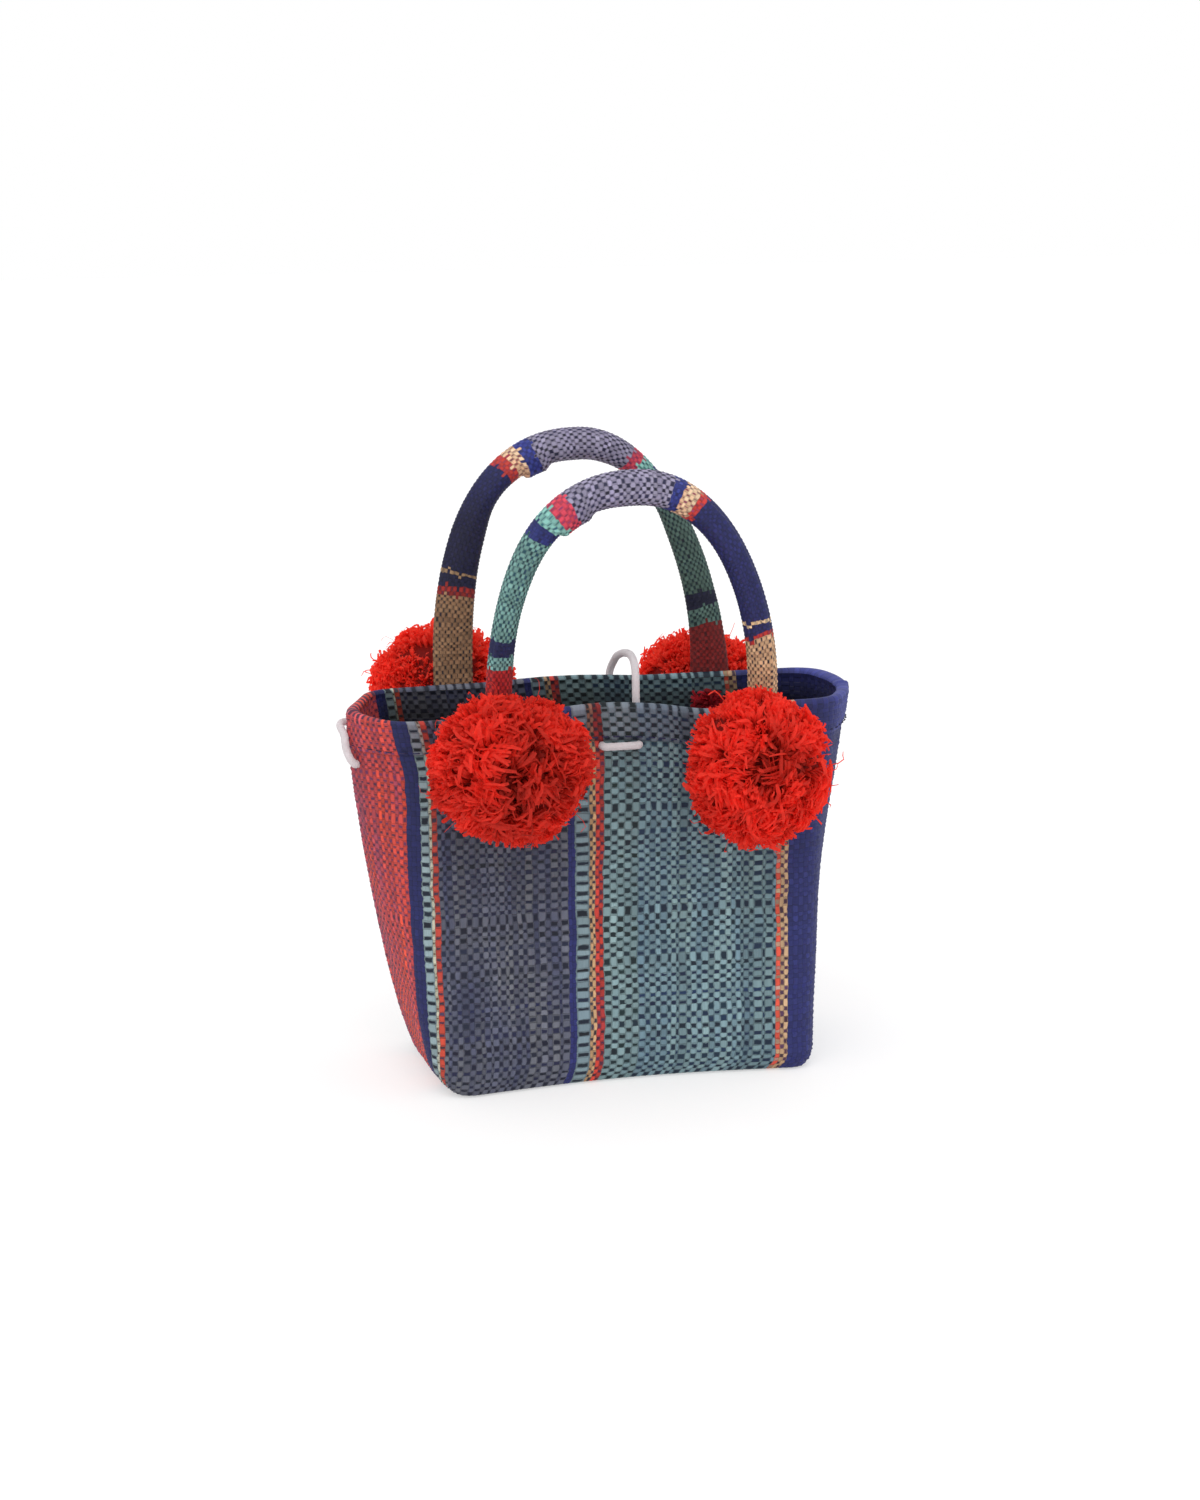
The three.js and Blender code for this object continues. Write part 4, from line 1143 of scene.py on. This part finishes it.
def body_piece(name, levels, parts, outside, cloth, material):
    """One face of the cloth body, walls and base, with each strand cut into parts."""
    shares = [part_steps(edges, parts) for edges in cloth["edges"]]
    points, normals = body_grid(levels, shares)
    count, columns = points.shape[:2]
    z, _, ends, starts, rows = (np.array(column) for column in zip(*levels))
    if outside:
        corners = np.cumsum([0] + [len(share) - 1 for share in shares])
        points = raise_weave(points, normals, z, ends, (corners[2], corners[5]), parts)
    k, a, quads = ring_quads(count, columns)
    strand, row = a // parts, rows[k + 1]
    left = in_cell(a, parts)
    travel = travelled(points[count // 2])
    travel = np.append(travel, travel[-1] + LAST_STRAND)
    drift_at = np.stack([travel[a], DYE_STRETCH * z[k], strand * STRAND_STEP], axis=-1)
    blotch_at = np.stack([travel[a], BLOTCH_STRETCH * z[k], travel[a] * 0.0], axis=-1)
    # Each wall cell's dye is dimmed by place, with painted shade inside and painted light on the rim bead and
    # right hem
    walls = corner_tables(
        cloth, strand, row, ((strand + row) % 2 == 0) == outside,
        sideways(left, left + 2.0 / parts), lengthways(starts[k], ends[k + 1]),
        sideways(travel[a], travel[a + 1]) * MM, lengthways(z[k], z[k + 1]) * MM,
        soft_swell(drift_at, "wall_dye") + soft_swell(blotch_at, "wall_blotch"),
        wall_dye_and_painted_shades(points[k, a, 0], z[k + 1], outside),
    )
    points = points.reshape(-1, 3)
    ring = 0 if outside else (count - 1) * columns
    within, base_quads, base = body_base(
        points[ring:ring + columns], ring, len(points), parts, outside, cloth)
    corner_data = {key: np.vstack([walls[key], base[key]]) for key in walls}
    faces = np.vstack([quads.reshape(-1, 4), base_quads])
    obj = add_mesh(name, np.vstack([points, within]), faces, material, corner_data)
    return place_piece(obj, "woven_raffia", "bag_body")


def body_cloth(material):
    cloth = make_cloth()
    outside, inside = body_levels()
    body_piece("woven_body", outside, 2, True, cloth, material)
    body_piece("woven_inside", inside, 1, False, cloth, material)


def dashes(line, outward, lift):
    """Points and faces of short raised stitches along a line."""
    travel = travelled(line)
    cloud, faces, total = [], [], 0
    for start in np.arange(FIRST_STITCH, travel[-1] - STITCH_LENGTH, STITCH_PITCH):
        at = start + STITCH_LENGTH * np.linspace(0.0, 1.0, len(STITCH_BULGE))
        at = at + rng.uniform(-STITCH_SHIFT, STITCH_SHIFT)
        raised = read_line(at, travel, outward) * (lift + STITCH_THICKNESS * STITCH_BULGE)[:, None]
        points, quads = tube(read_line(at, travel, line) + raised, STITCH_THICKNESS / 2, STITCH_SIDES)
        cloud.append(points)
        faces.append(quads + total)
        total += len(points)
    return np.vstack(cloud), np.vstack(faces)


def hem_stitches(material):
    """Row of thread stitches that holds the turned hem all round."""
    z = HEM_FOOT + STITCH_RISE
    ring, outward = outline(z, [np.linspace(0.0, 1.0, PANEL_STEPS)] * 6)
    line = np.column_stack([ring, z + rim_rise(ring[:, 0], ring[:, 1], z)])
    away = np.column_stack([outward, np.zeros(len(ring))])
    points, quads = dashes(line, away, WEAVE_HEIGHT - float(hem_inset(z)))
    place_piece(add_mesh("hem_stitches", points, quads, material), "woven_raffia")


def handle_frame(name):
    """Length along a handle from its left foot to its right foot, and by length its centreline,
    lean, half widths away from and towards the arch, and depth."""
    handle = HANDLES[name]
    side = handle["side"]
    lean = math.radians(handle["lean_deg"])
    foot_rise = np.linspace(-FOOT_LENGTH, 0.0, FOOT_STEPS, endpoint=False)
    foot_z = RIM_HEIGHT + foot_rise

    def foot(x):
        foot_y = strap_face(side, x, foot_z, STRAP_DEPTH / 2)
        return np.column_stack([np.full(FOOT_STEPS, x), foot_y, foot_z])

    base_y = float(strap_face(side, handle["right"], RIM_HEIGHT, STRAP_DEPTH / 2))
    turn = np.pi * (1.0 - np.linspace(0.0, 1.0, ARCH_STEPS))
    on_left = np.cos(turn) < 0
    power = 2.0 / np.where(on_left, handle["full_left"], handle["full_right"])
    reach = np.where(on_left, -handle["left"], handle["right"])
    climb = handle["arch"] * np.abs(np.sin(turn)) ** power
    arch = np.column_stack([
        reach * np.abs(np.cos(turn)) ** power,
        base_y + side * climb * math.sin(lean),
        RIM_HEIGHT + climb * math.cos(lean),
    ])
    line = np.vstack([foot(-handle["left"]), arch, foot(handle["right"])[::-1]])
    share = np.concatenate([foot_rise, climb, foot_rise[::-1]]) / handle["arch"]
    leans = np.pad(np.full(ARCH_STEPS, side * lean), FOOT_STEPS)
    on_left = line[:, 0] < 0
    begun, stopped = (
        smoothstep(share, handle[end] - PAD_RAMP, handle[end] + PAD_RAMP) for end in ("pad_from", "pad_to"))
    pad = PAD_STEP * begun * (1.0 - stopped) * on_left
    height = np.clip(share, 0.0, 1.0)
    left_leg = 1.0 + (handle["left_leg"] - 1.0) * np.sqrt(1.0 - height)
    right_leg = 1.0 + (handle["right_leg"] - 1.0) * np.sin(np.pi * height)
    leg = np.where(on_left, left_leg, right_leg)
    outward, inward, depth = (
        read_table(LEG_ROWS[name], LEG_COLUMNS, share, column) for column in LEG_COLUMNS[1:])
    travel = travelled(line)
    keep = np.concatenate([[True], np.diff(travel) > 1e-6])
    return travel[keep], np.column_stack([line, leans, leg * outward, leg * inward + pad, depth])[keep]


def handle_bands(edges, name):
    """Dyes of each strip along a handle, from its left foot to its right foot."""
    ends = np.cumsum([band[1 if name == "front" else 2] for band in HANDLE_BANDS])
    middles = 0.5 * (edges[:-1] + edges[1:])
    from_tan = 1.0 - middles if name == "front" else middles
    band = np.minimum(np.searchsorted(ends, from_tan * ends[-1]), len(HANDLE_BANDS) - 1)
    choices = np.array([strand_dyes(*row[3:], len(middles)) for row in HANDLE_BANDS])
    return choices[band, np.arange(len(middles))]


def handle_grid(name, travel, frame_rows, at, spots):
    """Points round a handle with the relief of its weave and the strips' lap along one side."""
    handle = HANDLES[name]
    rows = read_line(at, travel, frame_rows)
    centre = rows[:, :3]
    tilt, out, inn, deep = rows[:, 3:].T
    tangent = unit(np.gradient(centre, axis=0))
    facing = np.column_stack([np.zeros(len(at)), np.cos(tilt), -np.sin(tilt)])
    outwards = unit(np.cross(tangent, facing))
    turn = np.linspace(0.0, 2 * np.pi, HANDLE_SECTION_STEPS)
    points = np.empty((len(at), len(spots), 3))
    for k in range(len(at)):
        across = np.cos(turn) * np.where(np.cos(turn) > 0, out[k], inn[k])
        loop = np.column_stack([across, -np.sin(turn) * deep[k] / 2])
        way = travelled(loop)
        cross = read_line(spots * way[-1], way, loop)
        points[k] = centre[k] + cross[:, :1] * outwards[k] + cross[:, 1:] * facing[k]
    along, around = (in_cell(np.arange(count), HANDLE_PARTS) for count in points.shape[:2])
    relief = HANDLE_WEAVE_HEIGHT * weave_relief(along[:, None], around[None, :])
    lap = (-handle["side"] * (spots - handle["lap_at"])) % 1.0
    relief = relief + LAP_HEIGHT * np.clip(1.0 - lap / LAP_WIDTH, 0.0, 1.0)[None, :]
    points = points + grid_normals(points) * (relief + soft_swell(points, "handle_out"))[..., None]
    points = points + tangent[:, None] * soft_swell(points, "handle_along")[..., None]
    points = points + tangent[:, None] * rng.normal(0.0, HANDLE_SHIFT, points.shape[:2] + (1,))
    return points, centre


def handle_cloth(name, material):
    """Woven strip rolled round the padding of a handle."""
    handle = HANDLES[name]
    travel, frame_rows = handle_frame(name)
    strips = int(round(travel[-1] / HANDLE_STRAND / 2)) * 2
    edges = uneven_edges(strips, 0.0, HANDLE_SPREAD)
    dyes = handle_bands(edges, name)
    at = travel[-1] * part_steps(edges, HANDLE_PARTS)
    spots = part_steps(uneven_edges(HANDLE_AROUND, 0.0, HANDLE_SPREAD), HANDLE_PARTS)[:-1]
    points, centre = handle_grid(name, travel, frame_rows, at, spots)
    k, a, quads = ring_quads(len(at), len(spots))
    strip, long_strand = k // HANDLE_PARTS, a // HANDLE_PARTS
    waver = BAND_WAVER * np.sin(np.arange(HANDLE_AROUND) * BAND_WAVES + rng.uniform(0, PHASES))
    waver = waver + rng.normal(0.0, BAND_NOISE, HANDLE_AROUND)
    dyed = np.clip(strip + np.round(waver).astype(int)[long_strand], 0, strips - 1)
    # Painted shade on the back handle's legs, warm, fading out towards the lit top; the handle's shade below
    # is painted shade too
    lit = smoothstep(centre[1::HANDLE_PARTS, 2], *LEG_LIT)[:, None]
    painted_leg_light = np.array(handle["painted_leg_light"])
    dyes[:, :COVER] *= np.tile(painted_leg_light + (1.0 - painted_leg_light) * lit, 3)
    low, left = in_cell(k, HANDLE_PARTS), in_cell(a, HANDLE_PARTS)
    tables = corner_tables(
        {"dyes": dyes, **weave_unevenness(strips, HANDLE_AROUND, HANDLE_COVER_SPREAD)},
        dyed, long_strand, (strip + long_strand) % 2 == 0,
        sideways(low, low + 2.0 / HANDLE_PARTS), lengthways(left, left + 2.0 / HANDLE_PARTS),
        sideways(at[k], at[k + 1]) * MM, lengthways(a, a + 1) * (HANDLE_STRAND * MM / HANDLE_PARTS),
        soft_swell(np.stack([at[k], a * 1.0, strip * STRIP_STEP], axis=-1), "handle_dye"),
        np.full(k.shape, handle["shade"]),
    )
    caps = end_caps(len(at), len(spots), False)
    faces = np.vstack([quads[..., [0, 3, 2, 1]].reshape(-1, 4), caps])
    corner_data = {
        key: np.vstack([values, np.tile(values[:1], (caps.size, 1))]) for key, values in tables.items()}
    cloud = np.vstack([points.reshape(-1, 3), centre[:1], centre[-1:]])
    obj = add_mesh(f"woven_handle_{name}", cloud, faces, material, corner_data)
    return place_piece(obj, "handle_raffia", f"handle_{name}")


def along_ball(ways, direction):
    """The parts of some directions that run along the ball."""
    return unit(ways - direction * np.sum(ways * direction, axis=1, keepdims=True))


def pompom_strips(place, local):
    """Direction, bend, way of the bend, reach and shade of each strip, gathered in locks; the shade holds
    painted shade in the hollows and on the middle of the face.
    """
    side = place["side"]
    facing = np.array([0.0, side, 0.0])
    heights = 1.0 - (1.0 - POMPOM_LOWEST) * (np.arange(LOCKS) + 0.5) / LOCKS
    golden = np.pi * (3.0 - math.sqrt(5.0))
    turns = golden * np.arange(LOCKS) + local.uniform(-LOCK_TURN, LOCK_TURN, LOCKS)
    ring = np.sqrt(1.0 - heights ** 2)
    locks = np.column_stack([ring * np.cos(turns), side * heights, ring * np.sin(turns)])
    combed = locks * (locks @ facing)[:, None] - facing
    lock_way = along_ball(combed + LOCK_WAY * local.normal(size=locks.shape), locks)
    lock_bend = RIM_BEND + (FACE_BEND - RIM_BEND) * np.clip(heights, 0.0, 1.0)
    lock_bend = lock_bend * local.uniform(*LOCK_BEND, LOCKS)
    lock_reach = local.uniform(*LOCK_REACH, LOCKS)
    lock_shade = local.uniform(*STRIP_SHADE, LOCKS)
    lock = local.integers(0, LOCKS, RIBBONS)
    direction = unit(locks[lock] + LOCK_SPREAD * local.normal(size=(RIBBONS, 3)))
    way = lock_way[lock] + RIBBON_WAY * local.normal(size=(RIBBONS, 3))
    reach = lock_reach[lock] * local.uniform(*RIBBON_REACH, RIBBONS)
    facing_share = np.clip(direction @ facing, 0.0, 1.0)
    shade = lock_shade[lock] * local.uniform(*STRIP_SHADE, RIBBONS) * (1.0 - FACE_PAINTED_SHADE * facing_share ** 2)
    for across, up in place["hollows"]:
        hollow = np.array([across, side * math.sqrt(1.0 - across ** 2 - up ** 2), up])
        near = np.exp(-np.sum((direction - hollow) ** 2, axis=1) / HOLLOW_REACH ** 2)
        reach = reach * (1.0 - HOLLOW_DEPTH * near)
        shade = shade * (1.0 - HOLLOW_PAINTED_SHADE * near)
        way = way + near[:, None] * (direction - hollow)
    way = along_ball(way, direction)
    bend = lock_bend[lock] * local.uniform(*RIBBON_BEND, RIBBONS)
    wisp = np.arange(RIBBONS) < WISPS
    reach = np.where(wisp, local.uniform(*WISP_REACH, RIBBONS), reach)
    return direction, np.where(wisp, WISP_BEND, bend), way, reach, shade, wisp


def clear_of_bag(cloud, place):
    """Strips moved out until they stand clear of the wall, the rim and the handle's leg."""
    side = place["side"]
    handle = "front" if side < 0 else "back"
    leg_x = -HANDLES[handle]["left"] if place["x"] < 0 else HANDLES[handle]["right"]
    leg_half = LEG_ROWS[handle][0][1] + LEG_GAP
    x, y, z = np.moveaxis(cloud, -1, 0)
    below = np.clip(z, 0.0, RIM_HEIGHT)
    over_rim = smoothstep(z - RIM_HEIGHT, *OVERHANG_RISE)
    limit = side * wall_face(side, np.clip(x, *WALL_REACH), below) + WALL_GAP - OVERHANG * over_rim
    leg = side * strap_face(side, leg_x, below, POMPOM_SEAT) + LEG_SLOPE * np.maximum(z - RIM_HEIGHT, 0.0)
    limit = np.where(np.abs(x - leg_x) < leg_half, np.maximum(limit, leg), limit)
    return np.stack([x, side * np.maximum(side * y, limit), z], axis=-1)


def core_ball(centre, radii):
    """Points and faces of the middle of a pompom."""
    around, up = CORE_STEPS
    turn = np.arange(around) / around * 2 * np.pi
    rise = (np.linspace(-CORE_END, CORE_END, up) * np.pi)[:, None]
    spots = np.stack([
        np.cos(rise) * np.cos(turn), np.cos(rise) * np.sin(turn), np.sin(rise) * np.ones(around),
    ], axis=-1)
    quads = ring_quads(up, around)[2]
    return (centre + spots * radii * CORE_SHARE).reshape(-1, 3), quads.reshape(-1, 4)


def pompom(name, place, material):
    """Full ball of raffia strips combed outwards from its front in soft locks."""
    local = np.random.default_rng(place["seed"])
    side = place["side"]
    back_y = float(strap_face(side, place["x"], place["z"], POMPOM_SEAT))
    centre = np.array([place["x"], back_y + side * POMPOM_BACK_DEPTH, place["z"]])
    core_points, core_quads = core_ball(centre, (place["across"], POMPOM_BACK_DEPTH, place["up"]))
    direction, bend, way, reach, shade, wisp = pompom_strips(place, local)
    along = RIBBON_PARTS + 1
    t = np.linspace(0.0, 1.0, along)
    climb = np.sin(np.pi / 2 * np.minimum(t / RIBBON_CLIMB, 1.0))
    swing = bend[:, None] * after(t, RIBBON_SWING) ** SWING_POWER
    heading = np.cos(swing)[..., None] * direction[:, None] + np.sin(swing)[..., None] * way[:, None]
    lift = local.normal(0.0, RIBBON_LIFT, (RIBBONS, 1)) * after(t, LIFT_FROM)
    radial = RIBBON_ROOT + (reach[:, None] - RIBBON_ROOT) * climb + lift
    wave = local.normal(size=(RIBBONS, along, 3)) * RIBBON_WAVE * t[None, :, None]
    sizes = np.tile((place["across"], POMPOM_BACK_DEPTH, place["up"]), (RIBBONS, along, 1))
    sizes[side * heading[..., 1] > 0, 1] = POMPOM_FRONT_DEPTH
    path = heading * sizes * radial[..., None] + wave + centre
    tangent = unit(np.gradient(path, axis=1))
    flat = unit(np.cross(way, direction))[:, None] * np.ones((1, along, 1))
    flat = unit(flat - tangent * np.sum(flat * tangent, axis=-1, keepdims=True))
    roll = local.normal(0.0, RIBBON_ROLL, (RIBBONS, 1)) + local.normal(0.0, RIBBON_TWIST, (RIBBONS, 1)) * t
    widthways = np.cos(roll)[..., None] * flat + np.sin(roll)[..., None] * np.cross(tangent, flat)
    taper = (ROOT_WIDTH + (1.0 - ROOT_WIDTH) * t) * (1.0 - TIP_TAPER * after(t, TIP_FROM))
    width = RIBBON_HALF_WIDTH * local.uniform(*RIBBON_WIDTHS, (RIBBONS, 1)) * taper
    width = width * np.where(wisp, WISP_WIDTH, 1.0)[:, None]
    crease = width * local.uniform(*RIBBON_CREASE, (RIBBONS, 1))
    half = widthways * width[..., None]
    fold = np.cross(tangent, widthways) * crease[..., None]
    cloud = clear_of_bag(np.stack([path - half, path + fold, path + half], axis=2), place).reshape(-1, 3)
    # Strips run from painted shade at the root to their bright tips; the pompom's brightness is painted
    # light, and the middle ball is dyed in painted shade
    bright = np.minimum(linear(POMPOM_BRIGHT) * shade[:, None] * place["shade"], 1.0)
    depth_share = smoothstep(t, *RIBBON_PAINTED_SHADE_SPAN)[None, :, None]
    tint = linear(POMPOM_PAINTED_SHADE) * (1 - depth_share) + bright[:, None] * depth_share
    tint = np.repeat(tint[:, :, None, :], 3, axis=2).reshape(-1, 3)
    core_tint = np.tile(linear(POMPOM_PAINTED_SHADE) * CORE_PAINTED_SHADE, (len(core_points), 1))
    quads = np.vstack([strip_quads(RIBBONS, along, 3), core_quads + len(cloud)])
    tables = {"tint": opaque(np.vstack([tint, core_tint]))}
    obj = add_mesh(name + "_strips", np.vstack([cloud, core_points]), quads, material, point_data=tables)
    return place_piece(obj, "pompom_raffia", name)


def pompom_tie(material):
    """Loose ends of the strips that tie the back right pompom on, inside the back wall."""
    local = np.random.default_rng(TIE_SEED)
    turn = local.uniform(*TIE_TURN, TIE_STRIPS)[:, None]
    length = local.uniform(*TIE_LENGTH, TIE_STRIPS)[:, None]
    t = np.linspace(0.0, 1.0, TIE_POINTS)[None, :]
    root = local.normal(0.0, TIE_ROOT, (TIE_STRIPS, 2))
    curl = turn + local.normal(0.0, TIE_CURL, (TIE_STRIPS, 1)) * t
    x = TIE_X + root[:, :1] + length * t * np.cos(curl)
    z = TIE_Z + root[:, 1:] + length * t * np.sin(curl) - TIE_SAG * t ** 2
    lift = TIE_LIFT * local.uniform(*TIE_LIFTS, (TIE_STRIPS, 1)) * np.sin(TIE_ARC * np.pi * t)
    path = np.stack([x, wall_face(1, x, z) - HEM_STEP - WALL - (TIE_GAP + lift), z], axis=-1)
    roll = local.normal(0.0, TIE_ROLL, (TIE_STRIPS, 1))
    tilt = -np.abs(np.sin(roll)) * np.ones(t.shape)
    widthways = np.stack([-np.sin(curl) * np.cos(roll), tilt, np.cos(curl) * np.cos(roll)], axis=-1)
    half = local.uniform(*TIE_HALF_WIDTH, (TIE_STRIPS, 1, 1)) * widthways
    cloud = np.stack([path - half, path + half], axis=2).reshape(-1, 3)
    shade = np.repeat(local.uniform(*TIE_SHADE, (TIE_STRIPS, 1)), 2 * TIE_POINTS, axis=0)
    tables = {"tint": opaque(linear(TIE_DYE) * shade)}
    quads = strip_quads(TIE_STRIPS, TIE_POINTS, 2)
    obj = add_mesh("pompom_tie_ends", cloud, quads, material, point_data=tables)
    return place_piece(obj, "pompom_raffia")


def make_stage():
    bpy.ops.mesh.primitive_plane_add(size=FLOOR_SIZE, location=(0.0, 0.0, FLOOR_Z))
    floor = bpy.context.object
    floor.name = "pale_floor"
    floor.data.materials.append(floor_material())


def make_lights():
    world = bpy.data.worlds.new("studio")
    world.use_nodes = True
    background = world.node_tree.nodes["Background"].inputs
    background["Color"].default_value = (1.0, 1.0, 1.0, 1.0)
    background["Strength"].default_value = 1.0
    scene.world = world
    sun = bpy.data.lights.new("soft_sun", "SUN")
    sun.energy = SUN_ENERGY
    sun.angle = math.radians(SUN_ANGLE)
    aim("soft_sun", sun, SUN_WAY)
    scene.view_settings.view_transform = "Standard"


make_camera()
cord_white = fibre_material("white_cord")
make_cord("closure_cord", closure_route(), cord_white)
make_cord("side_cord", side_route(), cord_white)
raffia = cloth_material()
body_cloth(raffia)
hem_stitches(fibre_material("hem_thread"))
handle_cloth("front", raffia)
handle_cloth("back", raffia)
ribbons = fibre_material("pompom_raffia")
for pompom_name, pompom_place in POMPOMS.items():
    pompom(pompom_name, pompom_place, ribbons)
pompom_tie(ribbons)
make_stage()
make_lights()
